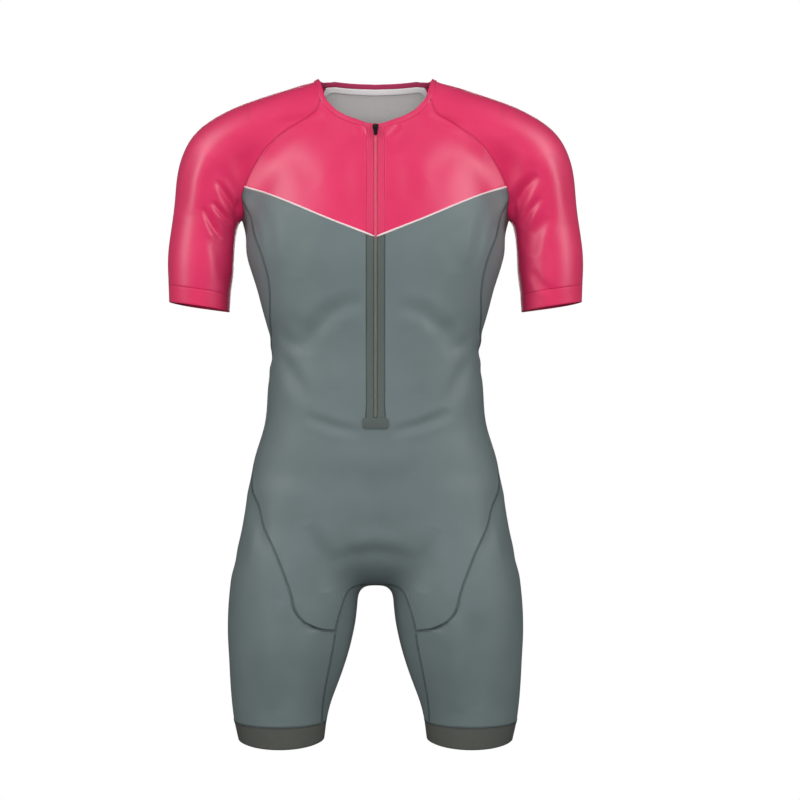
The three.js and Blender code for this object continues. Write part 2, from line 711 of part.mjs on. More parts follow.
// A grid of points with the four given edges, its inside settled onto the form
function weave(top, bottom, left, right) {
  const rows = left.length - 1;
  const columns = top.length - 1;
  const grid = [];
  for (let r = 0; r <= rows; r += 1) {
    const v = r / rows;
    const line = [];
    for (let c = 0; c <= columns; c += 1) {
      const u = c / columns;
      if (r === 0) line.push(top[c]);
      else if (r === rows) line.push(bottom[c]);
      else if (c === 0) line.push(left[r]);
      else if (c === columns) line.push(right[r]);
      else {
        const p = new THREE.Vector3();
        p.addScaledVector(top[c], 1 - v).addScaledVector(bottom[c], v);
        p.addScaledVector(left[r], 1 - u).addScaledVector(right[r], u);
        p.addScaledVector(top[0], -(1 - u) * (1 - v)).addScaledVector(top[columns], -u * (1 - v));
        p.addScaledVector(bottom[0], -(1 - u) * v).addScaledVector(bottom[columns], -u * v);
        line.push(settle(p));
      }
    }
    grid.push(line);
  }
  return grid;
}

// The same for one half of a sleeve, worked out round the sleeve's axis
function weaveSleeve(loop, ring, side) {
  const startPlaces = loop.map(placeOnArm);
  const endPlaces = ring.map(placeOnArm);
  startPlaces[loop.length - 1].turn = side * 180;
  endPlaces[loop.length - 1].turn = side * 180;
  startPlaces[0].turn = 0;
  endPlaces[0].turn = 0;
  const grid = [loop];
  for (let r = 1; r < SLEEVE_LONG; r += 1) {
    const t = r / SLEEVE_LONG;
    grid.push(startPlaces.map((start, c) => roundArm(
      THREE.MathUtils.lerp(start.row, endPlaces[c].row, t),
      THREE.MathUtils.lerp(start.turn, endPlaces[c].turn, t),
    )));
  }
  grid.push(ring);
  return grid;
}

const mirroredGrid = (grid) => grid.map(mirrored);

const WELD_STEPS_PER_MM = 1000;

// Joins grids into one sheet of faces that look outward
function weld(grids) {
  const points = [];
  const found = new Map();
  const faces = [];
  const indexOf = (p) => {
    const key = [p.x, p.y, p.z].map((value) => Math.round(value * WELD_STEPS_PER_MM)).join(' ');
    if (!found.has(key)) {
      found.set(key, points.length);
      points.push(p.clone());
    }
    return found.get(key);
  };
  for (const grid of grids) {
    const rows = grid.map((line) => line.map(indexOf));
    for (let r = 0; r < rows.length - 1; r += 1) {
      for (let c = 0; c < rows[r].length - 1; c += 1) {
        faces.push([rows[r][c], rows[r][c + 1], rows[r + 1][c + 1], rows[r + 1][c]]);
      }
    }
  }
  return { points, faces: faces.map((face) => facingOut(points, face)) };
}

function faceNormal(points, face) {
  const a = points[face[2]].clone().sub(points[face[0]]);
  const b = points[face[3]].clone().sub(points[face[1]]);
  return a.cross(b);
}

function facingOut(points, face) {
  const middle = face.reduce((sum, i) => sum.add(points[i]), new THREE.Vector3()).divideScalar(4);
  const outward = faceNormal(points, face).dot(outwardAt(middle)) > 0;
  return outward ? face : [...face].reverse();
}

function edgeOfSheet(faces) {
  const open = new Map();
  for (const face of faces) {
    face.forEach((from, i) => {
      const to = face[(i + 1) % 4];
      if (open.has(`${to} ${from}`)) open.delete(`${to} ${from}`);
      else open.set(`${from} ${to}`, [from, to]);
    });
  }
  return [...open.values()];
}

const SHARPEST_CORNER = -0.9;
const NEARLY_STRAIGHT = 0.98;

// How far each edge point is drawn in from the two edges that meet there
function drawIn(points, edges, gapAt) {
  const meeting = new Map();
  for (const [from, to] of edges) {
    const normal = outwardAt(points[from].clone().lerp(points[to], 0.5));
    const inward = normal.cross(points[to].clone().sub(points[from])).normalize();
    const gap = gapAt(points[from], points[to]);
    for (const i of [from, to]) {
      if (!meeting.has(i)) meeting.set(i, []);
      meeting.get(i).push({ inward, gap });
    }
  }
  const moves = new Map();
  for (const [i, [a, b]] of meeting) {
    const cosine = THREE.MathUtils.clamp(a.inward.dot(b.inward), SHARPEST_CORNER, 1);
    const move = new THREE.Vector3();
    if (cosine > NEARLY_STRAIGHT) {
      move.copy(a.inward).add(b.inward).normalize().multiplyScalar((a.gap + b.gap) / 2);
    } else {
      const sine = 1 - cosine * cosine;
      move.addScaledVector(a.inward, (a.gap - b.gap * cosine) / sine);
      move.addScaledVector(b.inward, (b.gap - a.gap * cosine) / sine);
    }
    moves.set(i, move);
  }
  return moves;
}

function pushQuad(list, a, b, c, d, points) {
  if (points[a].distanceTo(points[c]) <= points[b].distanceTo(points[d])) list.push(a, b, c, a, c, d);
  else list.push(a, b, d, b, c, d);
}

function solidFrom(points, triangles) {
  const geometry = new THREE.BufferGeometry();
  geometry.setAttribute('position', new THREE.Float32BufferAttribute(points.flatMap((p) => p.toArray()), 3));
  geometry.setIndex(triangles);
  geometry.computeVertexNormals();
  return geometry;
}

const plainGap = () => SEAM_GAP / 2;

// Two pieces that meet at a seam split the faces of their rims along the same diagonals
const RIM_ORDER = new THREE.Vector3(0.3, 1.7, 7.1);

// A wall of cloth: the sheet's points as its outer face, and the same points moved inward
function wall(grids, { thick = CLOTH, rise = 0, gapAt = plainGap } = {}) {
  const { points, faces } = weld(grids);
  const edges = edgeOfSheet(faces);
  const normals = points.map(outwardAt);
  const rank = points.map((p) => p.dot(RIM_ORDER));
  const moves = drawIn(points, edges, gapAt);
  moves.forEach((move, i) => points[i].add(move));
  const count = points.length;
  const outer = points.map((p, i) => p.clone().addScaledVector(normals[i], rise));
  const inner = points.map((p, i) => p.clone().addScaledVector(normals[i], rise - thick));
  const all = [...outer, ...inner];
  const triangles = [];
  for (const [a, b, c, d] of faces) {
    pushQuad(triangles, a, b, c, d, all);
    pushQuad(triangles, d + count, c + count, b + count, a + count, all);
  }
  for (const [from, to] of edges) {
    if (rank[from] < rank[to]) triangles.push(to, from, from + count, to, from + count, to + count);
    else triangles.push(to, from, to + count, from, from + count, to + count);
  }
  return solidFrom(all, triangles);
}

// A narrow strip with the given section, laid along a line on the form
function strip(line, section) {
  const last = line.length - 1;
  const size = section.length;
  const points = [];
  line.forEach((p, i) => {
    const along = line[Math.min(i + 1, last)].clone().sub(line[Math.max(i - 1, 0)]);
    const normal = outwardAt(p);
    const across = along.cross(normal).normalize();
    for (const { side, up } of section) {
      points.push(p.clone().addScaledVector(across, side).addScaledVector(normal, up));
    }
  });
  const triangles = [];
  for (let i = 0; i < last; i += 1) {
    for (let j = 0; j < size; j += 1) {
      const next = (j + 1) % size;
      const a = i * size + j;
      const b = i * size + next;
      triangles.push(a, b + size, b, a, a + size, b + size);
    }
  }
  const end = last * size;
  for (let j = 1; j < size - 1; j += 1) {
    triangles.push(0, j, j + 1);
    triangles.push(end, end + j + 1, end + j);
  }
  return solidFrom(points, triangles);
}

const suit = new THREE.Group();

function add(name, geometry, color, { roughness = 0.7, metalness = 0 } = {}) {
  const mesh = new THREE.Mesh(geometry, new THREE.MeshStandardMaterial({ color, roughness, metalness }));
  mesh.name = name;
  suit.add(mesh);
  return mesh;
}

function addBothSides(name, grids, color, options) {
  add(`${name}_left`, wall(grids, options), color);
  add(`${name}_right`, wall(grids.map(mirroredGrid), options), color);
}

const bothHalves = (grids) => [...grids, ...grids.map(mirroredGrid)];

// Edges beside the piping stand off by half its width
const CLOSE = 0.01;
const veePoints = [veeCentre, ...vee];
const onVee = (p) => veePoints.some((v) => Math.hypot(Math.abs(p.x) - v.x, p.z - v.z) < CLOSE);
const besidePiping = (a, b) => (onVee(a) && onVee(b) ? PIPING_WIDE / 2 + SEAM_GAP : SEAM_GAP / 2);

// Zip lines on the front
const { lerp } = THREE.MathUtils;
const frontLine = (x, top, bottom, count) => evenly(count, (t) => onFront({ x, z: lerp(top, bottom, t) }));
const backLine = (top, bottom, count) => evenly(count, (t) => onBack({ x: CENTRE, z: lerp(top, bottom, t) }));

function withEnds(line, first, last) {
  line[0] = first;
  line[line.length - 1] = last;
  return line;
}

const besideCoil = (p) => onFront({ x: ZIP_COIL_HALF, z: p.z });
const neckZipEdge = neckControls[0];
const yokeZipLine = frontLine(ZIP_STRIP_HALF, frontNeck[0].z, veeAtZip.z, YOKE_TALL);
const yokeZipEdge = withEnds(yokeZipLine, frontNeck[0], veeAtZip);
const bodyZipEdge = frontLine(ZIP_STRIP_HALF, veeAtZip.z, ZIP_END_Z, BODY_TALL + 1);
bodyZipEdge[0] = veeAtZip;
const slotCorner = bodyZipEdge[BODY_TALL + 1];
const slotEnd = onFront({ x: CENTRE, z: ZIP_END_Z });

// Front yoke
const frontYoke = weave(frontNeck, vee, yokeZipEdge, raglanFront.yoke);
addBothSides('front_yoke', [frontYoke], COLOURS.pink, { gapAt: besidePiping });

// Back yoke, with the neck tape on its inner side
const tapeLine = underNeckTape.slice(FRONT_WIDE + SHOULDER_TOP);
tapeLine[0] = raglanBack.yoke[1];
const yokeBackCentre = withEnds(backLine(tapeLine[BACK_WIDE].z, YOKE_BACK[0].z, YOKE_TALL - 1),
  tapeLine[BACK_WIDE], yokeBackSeam[0]);
const backYokeTop = [reversed(backNeck), reversed(tapeLine)];
const backYoke = weave(backYokeTop[1], yokeBackSeam, yokeBackCentre, raglanBack.yoke.slice(1));
add('back_yoke', wall(bothHalves([backYokeTop, backYoke])), COLOURS.pink);
const tapeWall = wall(bothHalves([backYokeTop]), { thick: NECK_TAPE, rise: -CLOTH - LAID_GAP });
add('neck_tape', tapeWall, COLOURS.white);

// Binding round the neck edge
const bindingWall = wall(bothHalves([[wholeNeckEdge, underBinding]]), { thick: BINDING, rise: BINDING_RISE });
add('neck_binding', bindingWall, COLOURS.bindingPink);

// Sleeves with their cuffs
const frontLoop = joined(
  reversed(shoulderNeck.slice(0, SHOULDER_TOP / 2 + 1)),
  raglanFront.yoke,
  raglanFront.body,
  raglanFront.under,
);
const backLoop = joined(
  shoulderNeck.slice(SHOULDER_TOP / 2),
  raglanBack.yoke,
  raglanBack.body,
  raglanBack.under,
);
const around = frontLoop.length - 1;
const cuffRing = (side, level) => evenly(around, (t) => roundCuff(side * 180 * t, level));
const cuffHalf = (side) => evenly(CUFF_TALL, (t) => cuffRing(side, lerp(CUFF_TOP_Z, SLEEVE_HEM_Z, t)));
const cuff = [cuffHalf(1), cuffHalf(-1)];
const sleeve = [weaveSleeve(frontLoop, cuff[0][0], 1), weaveSleeve(backLoop, cuff[1][0], -1)];
for (const [front, back] of [cuff, sleeve]) {
  back.forEach((line, r) => withEnds(line, front[r][0], front[r][around]));
}
addBothSides('sleeve', sleeve, COLOURS.pink);
addBothSides('sleeve_cuff', cuff, COLOURS.cuffPink);

// Rows across the body at the waist and the hip
const turnOf = (p) => THREE.MathUtils.radToDeg(Math.atan2(p.x, -p.y));
const legTurnOf = (p) => THREE.MathUtils.radToDeg(Math.atan2(p.x - read(LEG, 'x', 'z', p.z), -p.y));
const waistFront = withEnds(trunkRow(turnOf(slotCorner), SIDE_FRONT_AT_WAIST, WAIST_ROW_Z, FRONT_WIDE),
  slotCorner, sideWaistFront);
const hipRowFront = trunkRow(0, turnOf(hipFront), HIP_ROW_Z, FRONT_WIDE + 1);
withEnds(hipRowFront, onFront({ x: CENTRE, z: HIP_ROW_Z }), hipFront);
const waistBack = trunkRow(180, SIDE_BACK_AT_WAIST, WAIST_ROW_Z, BACK_WIDE);
withEnds(waistBack, onBack({ x: CENTRE, z: WAIST_ROW_Z }), sideWaistBack);
const hipRowBack = trunkRow(180, turnOf(hipBack), HIP_ROW_Z, BACK_WIDE);
withEnds(hipRowBack, onBack({ x: CENTRE, z: HIP_ROW_Z }), hipBack);

// Front body, from the chest seam to the thigh seam and the crotch
const upperFront = weave(vee, waistFront, bodyZipEdge, joined(raglanFront.body, sideFront.body));
const bellyLine = withEnds(frontLine(CENTRE, ZIP_END_Z, HIP_ROW_Z, HIP_TALL), slotEnd, hipRowFront[0]);
const belly = weave([slotEnd, ...waistFront], hipRowFront, bellyLine, sideFront.hip);
const thighTall = THIGH_UPPER + THIGH_LOWER;
const underBelly = seam([hipRowFront[0], ...CROTCH_LINE_FRONT.map(onForm), crotchFront], thighTall);
const lowerFront = weave(hipRowFront, innerFront.upper, underBelly, joined(sideFront.upper, sideFront.lower));
const frontWall = wall(bothHalves([upperFront, belly, lowerFront]), { gapAt: besidePiping });
add('front_body', frontWall, COLOURS.grey);

// Back body
const spineLine = backLine(YOKE_BACK[0].z, WAIST_ROW_Z, BODY_TALL + 1);
withEnds(spineLine, yokeBackSeam[0], waistBack[0]);
const upperBack = weave(yokeBackSeam, waistBack, spineLine, joined(raglanBack.body, sideBack.body));
const seatLine = withEnds(backLine(WAIST_ROW_Z, HIP_ROW_Z, HIP_TALL), waistBack[0], hipRowBack[0]);
const seat = weave(waistBack, hipRowBack, seatLine, sideBack.hip);
const underSeat = seam([hipRowBack[0], ...CROTCH_LINE_BACK.map(onForm), crotchBack], thighTall);
const lowerBack = weave(hipRowBack, innerBack.upper, underSeat, joined(sideBack.upper, sideBack.lower));
add('back_body', wall(bothHalves([upperBack, seat, lowerBack])), COLOURS.grey);

// Side and leg panel: one piece from the armpit down the side, round the thigh to the leg band
const stripWide = 2 * UNDERARM;
const stripTop = joined(raglanFront.under, reversed(raglanBack.under));
const stripHip = trunkRow(turnOf(hipFront), turnOf(hipBack), HIP_ROW_Z, stripWide);
withEnds(stripHip, hipFront, hipBack);
const stripFrontEdge = joined(sideFront.body, sideFront.hip);
const stripBackEdge = joined(sideBack.body, sideBack.hip);
const sideStrip = weave(stripTop, stripHip, stripFrontEdge, stripBackEdge);
const thighZ = thighFrontEnd.z;
const stripThigh = legRow(STRIP_FRONT_TURN, STRIP_BACK_TURN, thighZ, stripWide);
const stripFrontLine = between(hipFront, stripThigh[0], THIGH_LOWER);
const stripBackLine = between(hipBack, stripThigh[stripWide], THIGH_LOWER);
const thighFrontRow = withEnds(legRow(STRIP_FRONT_TURN, legTurnOf(thighFrontEnd), thighZ, THIGH_UPPER),
  stripThigh[0], thighFrontEnd);
const thighBackRow = withEnds(legRow(STRIP_BACK_TURN, 360 + legTurnOf(thighBackEnd), thighZ, THIGH_UPPER),
  stripThigh[stripWide], thighBackEnd);
const thighOuter = joined(reversed(thighFrontRow), stripThigh, thighBackRow);
const bandOuterTop = legRow(BAND_FRONT_TURN, 360 + BAND_BACK_TURN, BAND_TOP_Z, thighOuter.length - 1);
withEnds(bandOuterTop, bandFront, bandBack);
addBothSides('leg_panel', [
  sideStrip,
  weave(stripHip, stripThigh, stripFrontLine, stripBackLine),
  weave(sideFront.upper, thighFrontRow, stripFrontLine, sideFront.lower),
  weave(sideBack.upper, thighBackRow, stripBackLine, sideBack.lower),
  weave(thighOuter, bandOuterTop, innerFront.lower, innerBack.lower),
], COLOURS.grey);

// Inner leg panel: one piece over the crotch and down both inner legs
const crotchLine = seam([crotchFront, ...CROTCH_LINE_UNDER.map(onForm), crotchBack], GUSSET_WIDE);
const thighInner = withEnds(legRow(legTurnOf(thighFrontEnd), legTurnOf(thighBackEnd), thighZ, GUSSET_WIDE),
  thighFrontEnd, thighBackEnd);
const bandInnerTop = legRow(BAND_FRONT_TURN, BAND_BACK_TURN, BAND_TOP_Z, GUSSET_WIDE);
withEnds(bandInnerTop, bandFront, bandBack);
add('inner_leg_panel', wall(bothHalves([
  weave(crotchLine, thighInner, innerFront.upper, innerBack.upper),
  weave(thighInner, bandInnerTop, innerFront.lower, innerBack.lower),
])), COLOURS.grey);

// Gripper band round each leg hem
const hemZ = (turn) => LEG_HEM.side - LEG_HEM.frontDrop * Math.cos(THREE.MathUtils.degToRad(turn)) ** 2;
const onHem = (p) => roundLeg(legTurnOf(p), hemZ(legTurnOf(p)));
addBothSides('leg_band', [
  [bandOuterTop, bandOuterTop.map(onHem)],
  [bandInnerTop, bandInnerTop.map(onHem)],
], COLOURS.gripper);

// White piping along the chest seam
const pipingLine = joined([veeCentre], vee);
const pipingEnd = pipingLine.length - 1;
pipingLine[0] = settle(pipingLine[0].clone().lerp(pipingLine[1], PIPING_START));
pipingLine[pipingEnd] = settle(pipingLine[pipingEnd].clone().lerp(pipingLine[pipingEnd - 1], PIPING_STOP));
const pipingSection = evenly(PIPING_SIDES - 1, (t) => {
  const angle = 2 * Math.PI * t * (PIPING_SIDES - 1) / PIPING_SIDES;
  return { side: PIPING_WIDE / 2 * Math.cos(angle), up: PIPING_RISE + PIPING_WIDE / 2 * Math.sin(angle) };
});
for (const [side, line] of [['left', pipingLine], ['right', mirrored(pipingLine)]]) {
  add(`piping_${side}`, strip(line, pipingSection), COLOURS.white);
}

// Zip: tapes in the colour of the panel beside them, and the closed coil between them
const upperTapeOuter = [neckZipEdge, ...yokeZipEdge];
const upperTapeInner = upperTapeOuter.map(besideCoil);
withEnds(upperTapeInner, onFront({ x: ZIP_COIL_HALF, z: ZIP_TOP_Z }), veeCentre);
addBothSides('zip_tape_upper', [[upperTapeOuter, upperTapeInner]], COLOURS.zipPink,
  { thick: TAPE, rise: TAPE_RISE, gapAt: besidePiping });
const lowerTapeInner = bodyZipEdge.map(besideCoil);
lowerTapeInner[0] = veeCentre;
addBothSides('zip_tape_lower', [[bodyZipEdge, lowerTapeInner]], COLOURS.zipGrey,
  { thick: TAPE, rise: TAPE_RISE, gapAt: besidePiping });
const coilSection = [
  { side: -COIL.half, up: -COIL.deep },
  { side: COIL.half, up: -COIL.deep },
  { side: COIL.half, up: COIL.shoulder },
  { side: COIL.crown, up: COIL.proud },
  { side: -COIL.crown, up: COIL.proud },
  { side: -COIL.half, up: COIL.shoulder },
];
const coilLine = frontLine(CENTRE, ZIP_TOP_Z, COIL.end, YOKE_TALL + BODY_TALL);
add('zip_coil', strip(coilLine, coilSection), COLOURS.coil);

const tabGrid = evenly(1, (v) => evenly(END_TAB.faces, (u) => onFront({
  x: lerp(-END_TAB.half, END_TAB.half, u),
  z: lerp(END_TAB.top, END_TAB.bottom, v),
})));
add('zip_end_tab', wall([tabGrid], { thick: END_TAB.thick, rise: END_TAB.thick + LAID_GAP }), COLOURS.dark);

// Slider with the bridge that holds the pull tab, in a frame lying on the cloth:
// X across, Y up along the zip and Z away from the cloth
const sliderSeat = onFront({ x: CENTRE, z: SLIDER.z });
const sliderOut = outwardAt(sliderSeat).setX(0).normalize();
const sliderUp = new THREE.Vector3(0, -sliderOut.z, sliderOut.y).negate();
const sliderFrame = new THREE.Matrix4().makeBasis(new THREE.Vector3(1, 0, 0), sliderUp, sliderOut);
sliderFrame.setPosition(sliderSeat);

function outline(corners) {
  const shape = new THREE.Shape();
  corners.forEach(([x, y], i) => (i === 0 ? shape.moveTo(x, y) : shape.lineTo(x, y)));
  shape.closePath();
  return shape;
}

function plate(shape, thick, low) {
  const geometry = new THREE.ExtrudeGeometry(shape, { depth: thick, bevelEnabled: false, curveSegments: 6 });
  return geometry.translate(0, 0, low);
}

const sliderTop = SLIDER.low + SLIDER.thick;
const sliderOutline = outline([
  [-SLIDER.wide / 2 + SLIDER.corner, SLIDER.long / 2],
  [-SLIDER.wide / 2, SLIDER.long / 2 - SLIDER.corner],
  [-SLIDER.wide / 2, 0],
  [-SLIDER.foot / 2, -SLIDER.long / 2],
  [SLIDER.foot / 2, -SLIDER.long / 2],
  [SLIDER.wide / 2, 0],
  [SLIDER.wide / 2, SLIDER.long / 2 - SLIDER.corner],
  [SLIDER.wide / 2 - SLIDER.corner, SLIDER.long / 2],
]);
const bridgeOutline = outline([
  [-BRIDGE.reach, 0],
  [-BRIDGE.reach, BRIDGE.high * BRIDGE.rounding],
  [-BRIDGE.reach * BRIDGE.rounding, BRIDGE.high],
  [BRIDGE.reach * BRIDGE.rounding, BRIDGE.high],
  [BRIDGE.reach, BRIDGE.high * BRIDGE.rounding],
  [BRIDGE.reach, 0],
  [BRIDGE.window, 0],
  [BRIDGE.window, BRIDGE.windowHigh],
  [-BRIDGE.window, BRIDGE.windowHigh],
  [-BRIDGE.window, 0],
]);
const bridge = plate(bridgeOutline, BRIDGE.thick, -BRIDGE.thick / 2);
bridge.rotateX(Math.PI / 2).rotateZ(Math.PI / 2).translate(0, 0, sliderTop - BRIDGE.sunk);

const library = await Module();
library.setup();

function manifoldOf(geometry) {
  const bare = geometry.clone();
  bare.deleteAttribute('normal');
  bare.deleteAttribute('uv');
  const merged = mergeVertices(bare);
  const vertProperties = new Float32Array(merged.attributes.position.array);
  const triVerts = new Uint32Array(merged.index.array);
  return new library.Manifold(new library.Mesh({ numProp: 3, vertProperties, triVerts }));
}

function joinedSolids(a, b) {
  const { vertProperties, triVerts } = manifoldOf(a).add(manifoldOf(b)).getMesh();
  const geometry = new THREE.BufferGeometry();
  geometry.setAttribute('position', new THREE.Float32BufferAttribute(vertProperties, 3));
  geometry.setIndex([...triVerts]);
  geometry.computeVertexNormals();
  return geometry;
}

const metal = { roughness: 0.35, metalness: 0.8 };
const sliderBody = joinedSolids(plate(sliderOutline, SLIDER.thick, SLIDER.low), bridge);
const slider = add('zip_slider', sliderBody, COLOURS.dark, metal);
slider.applyMatrix4(sliderFrame);

// Pull tab, hanging from its cross bar through the bridge
const pullOutline = outline([
  [-PULL.half, PULL.bar / 2],
  [-PULL.half, -PULL.long + PULL.corner],
  [-PULL.half + PULL.corner, -PULL.long],
  [PULL.half - PULL.corner, -PULL.long],
  [PULL.half, -PULL.long + PULL.corner],
  [PULL.half, PULL.bar / 2],
]);
pullOutline.holes.push(outline([
  [-PULL.eyeHalf, -PULL.bar / 2],
  [PULL.eyeHalf, -PULL.bar / 2],
  [PULL.eyeHalf, -PULL.eyeLong],
  [-PULL.eyeHalf, -PULL.eyeLong],
]));
const pull = add('zip_pull', plate(pullOutline, PULL.bar, -PULL.bar / 2), COLOURS.dark, metal);
pull.geometry.translate(0, 0, sliderTop + PULL.clear + PULL.bar / 2);
pull.applyMatrix4(sliderFrame);

export default suit;
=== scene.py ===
"""Looks of a one-piece triathlon suit: knit shells with seams, piping, zip and bands over a fixed frame."""
import math

import bmesh
import bpy
import numpy as np
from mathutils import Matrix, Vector
from mathutils.kdtree import KDTree


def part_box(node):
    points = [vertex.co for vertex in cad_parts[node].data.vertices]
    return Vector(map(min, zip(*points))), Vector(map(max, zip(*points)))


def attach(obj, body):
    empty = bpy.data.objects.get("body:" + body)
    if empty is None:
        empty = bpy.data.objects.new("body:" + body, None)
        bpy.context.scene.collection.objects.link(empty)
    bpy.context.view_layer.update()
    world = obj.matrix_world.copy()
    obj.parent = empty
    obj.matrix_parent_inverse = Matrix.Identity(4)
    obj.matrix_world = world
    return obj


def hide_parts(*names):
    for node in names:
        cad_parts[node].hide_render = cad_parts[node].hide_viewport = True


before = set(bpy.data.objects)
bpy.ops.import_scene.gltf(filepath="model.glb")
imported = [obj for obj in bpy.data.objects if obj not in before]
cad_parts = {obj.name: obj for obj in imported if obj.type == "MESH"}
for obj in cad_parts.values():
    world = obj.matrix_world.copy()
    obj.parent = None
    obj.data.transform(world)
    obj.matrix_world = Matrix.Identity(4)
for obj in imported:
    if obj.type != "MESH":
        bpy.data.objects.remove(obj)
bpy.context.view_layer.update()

MM = 0.001
SUIT = "suit"
PULL = "pull"

# Solids as they come: points closer than the weld are one, and the edges through a wall's thickness
# are told by their length and by how they lean against its broad faces
WELD = 0.01 * MM
WALL = 2.0 * MM
WALL_NEAR = 0.04 * MM
WALL_REACH = 2.6 * MM
WALL_LEAN = 0.2
ODD_WALL_LEAN = 0.72
SMOOTH_FOLD = math.radians(60)
LINE_FALL = -6

# Small faces that are evened out: their area, how far they may tilt, and how much each round moves
SLIVER = 14 * MM * MM
SLIVER_TILT = 0.8
SLIVER_ROUNDS = 6
SLIVER_MOVE = 0.5
FOLDED = 0.7
UNFOLD_ROUNDS = 12
UNFOLD_MOVE = 0.6
FIT_ROUNDS = 3

# Cloth: its thickness, and how its edges meet, sink and turn down in a seam
KNIT_THICK = 0.8 * MM
SEAM_CLOSE = 0.12 * MM
SEAM_SINK = 0.35 * MM
SEAM_RING = 0.5 * MM
SEAM_NEAR = 1.0 * MM
SEAM_DRAW = 3.4 * MM
SEAM_STEP = 0.4 * MM
SHORT_ROW = 3

# Back of the neck: how far it is raised and, in millimetres, where and over how far the rise fades
NECK_LIFT = 8 * MM
NECK_HALF = 84
NECK_FADE = 28
NECK_BACK = 8
NECK_BACK_FADE = 26
NECK_LOW = -75
NECK_LOW_FADE = 60

# Turned-in side of the neck binding, which takes the painted shade: it looks at the middle of the neck from
# at least this far
NECK_MIDDLE_Y = 6 * MM
NECK_SIDE = -20 * MM

# Sewing: radii of the thread, its cover inside and the filling of a seam, the share of a radius
# that lies under the cloth, and the loops and needle rows of a flatlock
THREAD = 0.2 * MM
COVER = 0.8 * MM
GROOVE = 0.6 * MM
GROOVE_STEP = 4 * MM
SUNK = 0.8
FLATLOCK_PITCH = 2.4 * MM
FLATLOCK_HALF = 1.7 * MM
LOOP_WAVE = np.array([0, 1, 0, -1])
LOOP_LIFT = 0.6
NEEDLE_OUT = 1.05
NEEDLE_LIFT = 0.5

# Zip: the coil, and one turn of its filament across and above the tapes in millimetres
COIL_HALF = 2.05 * MM
COIL_PROUD = 0.9 * MM
COIL_CROWN = (0.5, 0.7)
TOOTH_PITCH = 1.5 * MM
TOOTH_ACROSS = np.array([1.9, 1.75, -0.4, -0.5])
TOOTH_LIFT = np.array([-0.3, 0.55, 0.6, -0.2])
FILAMENT = 0.3 * MM
WEB_DROP = 0.7 * MM

# Trims: folds that are flattened, rounded off or kept crisp, and the short edges at a rounded corner
FLAT_FOLD = math.radians(4)
EDGE_FOLD = math.radians(40)
CRISP_FOLD = math.radians(35)
CORNER_FOLD = math.radians(60)
CORNER_EDGE = 2 * MM
CORNER_STEPS = 5

# Looks of the knit: clouds of the dye and grain of the yarn per metre, the range they span,
# the shade between the loops, and the soft light of the fibres
CLOUD_SCALE = 14.0
YARN_SCALE = 1400.0
YARN_SHARE = 0.3
DYE_RANGE = (0.35, 0.65)
LOOP_SHADE = (0.86, 1.04)
COAT_ROUGH = 0.45
SHEEN_ROUGH = 0.4
SHEEN_TINT = (1.0, 0.92, 0.93, 1.0)
LINT_SCALE = 300.0
LINT_SHARE = 0.4
WHITE = (1.0, 1.0, 1.0, 1.0)

# Bands in a length of one that a wave texture makes at a scale of one
WAVE_TURNS = 3.183

# Usual reach of the cloth from each middle line, in metres
THREAD_REACH = {"trunk": 0.14, "arm": 0.048, "leg": 0.085}

# Camera and light, from the framing of the photograph
VIEW_WIDE = 1.12
VIEW_FAR = 2.5
EYE_Z = -0.4298
SENSOR = 36.0
PHOTO_WIDE = 800
SUIT_OFF_CENTRE = 24.5
FLOOR_HALF = 6.0
FLOOR_Z = -0.99
AIR_LIGHT = 0.08

# Middle lines of the trunk, the arm and the leg, in millimetres
TRUNK_LINE = [(0, 0, -60), (0, 0, -600)]
ARM_LINE = [(60, 0, -37), (164, 0, -61), (215, 0, -100), (239, 0, -190), (246, 0, -345)]
SHOULDER_LINE = [(60, 0, -37), (140, 0, -56)]
LEG_LINE = [(96, 0, -600), (115, 0, -710), (133, 0, -940)]


def mirrored_line(line):
    return [(-x, y, z) for x, y, z in line]


MIDDLE_LINES = [TRUNK_LINE, ARM_LINE, LEG_LINE, mirrored_line(ARM_LINE), mirrored_line(LEG_LINE)]


# Numbers about lines

def nearest_on_line(points, line):
    """Nearest place on a line of points: the place, its distance and how far along it is."""
    best = None
    run = 0.0
    for a, b in zip(line[:-1], line[1:]):
        a = np.array(a, float)
        b = np.array(b, float)
        span = b - a
        length = np.linalg.norm(span)
        t = np.clip((points - a) @ span / length**2, 0, 1)
        place = a + t[:, None] * span
        away = np.linalg.norm(points - place, axis=1)
        along = run + t * length
        if best is None:
            best = [place, away, along]
        else:
            closer = away < best[1]
            best[0] = np.where(closer[:, None], place, best[0])
            best[1] = np.where(closer, away, best[1])
            best[2] = np.where(closer, along, best[2])
        run += length
    return best


def outward_of(points, lines=MIDDLE_LINES):
    """A smooth way out from the middle lines, the same for neighbouring sheets."""
    total = np.zeros_like(points)
    for line in lines:
        place, away, _ = nearest_on_line(points, line)
        total += (points - place) / away[:, None] * (away[:, None] ** LINE_FALL)
    return total / np.linalg.norm(total, axis=1)[:, None]


def evenly_along(row, step):
    """A row of places with their directions, taken again at even steps."""
    gaps = np.linalg.norm(np.diff(row["at"], axis=0), axis=1)
    run = np.concatenate([[0], np.cumsum(gaps)])
    count = max(2, int(run[-1] / step) + 1)
    places = np.linspace(0, run[-1], count)
    return {key: np.column_stack([np.interp(places, run, value[:, i]) for i in range(3)])
            for key, value in row.items()}


def edge_tree(rows):
    """Places at even small steps along rows of points, ready to be searched."""
    places = np.concatenate([evenly_along({"at": at}, SEAM_STEP)["at"] for at in rows])
    tree = KDTree(len(places))
    for i, place in enumerate(places):
        tree.insert(place, i)
    tree.balance()
    return tree


def points_of(mesh):
    co = np.empty(len(mesh.vertices) * 3)
    mesh.vertices.foreach_get("co", co)
    return co.reshape(-1, 3)


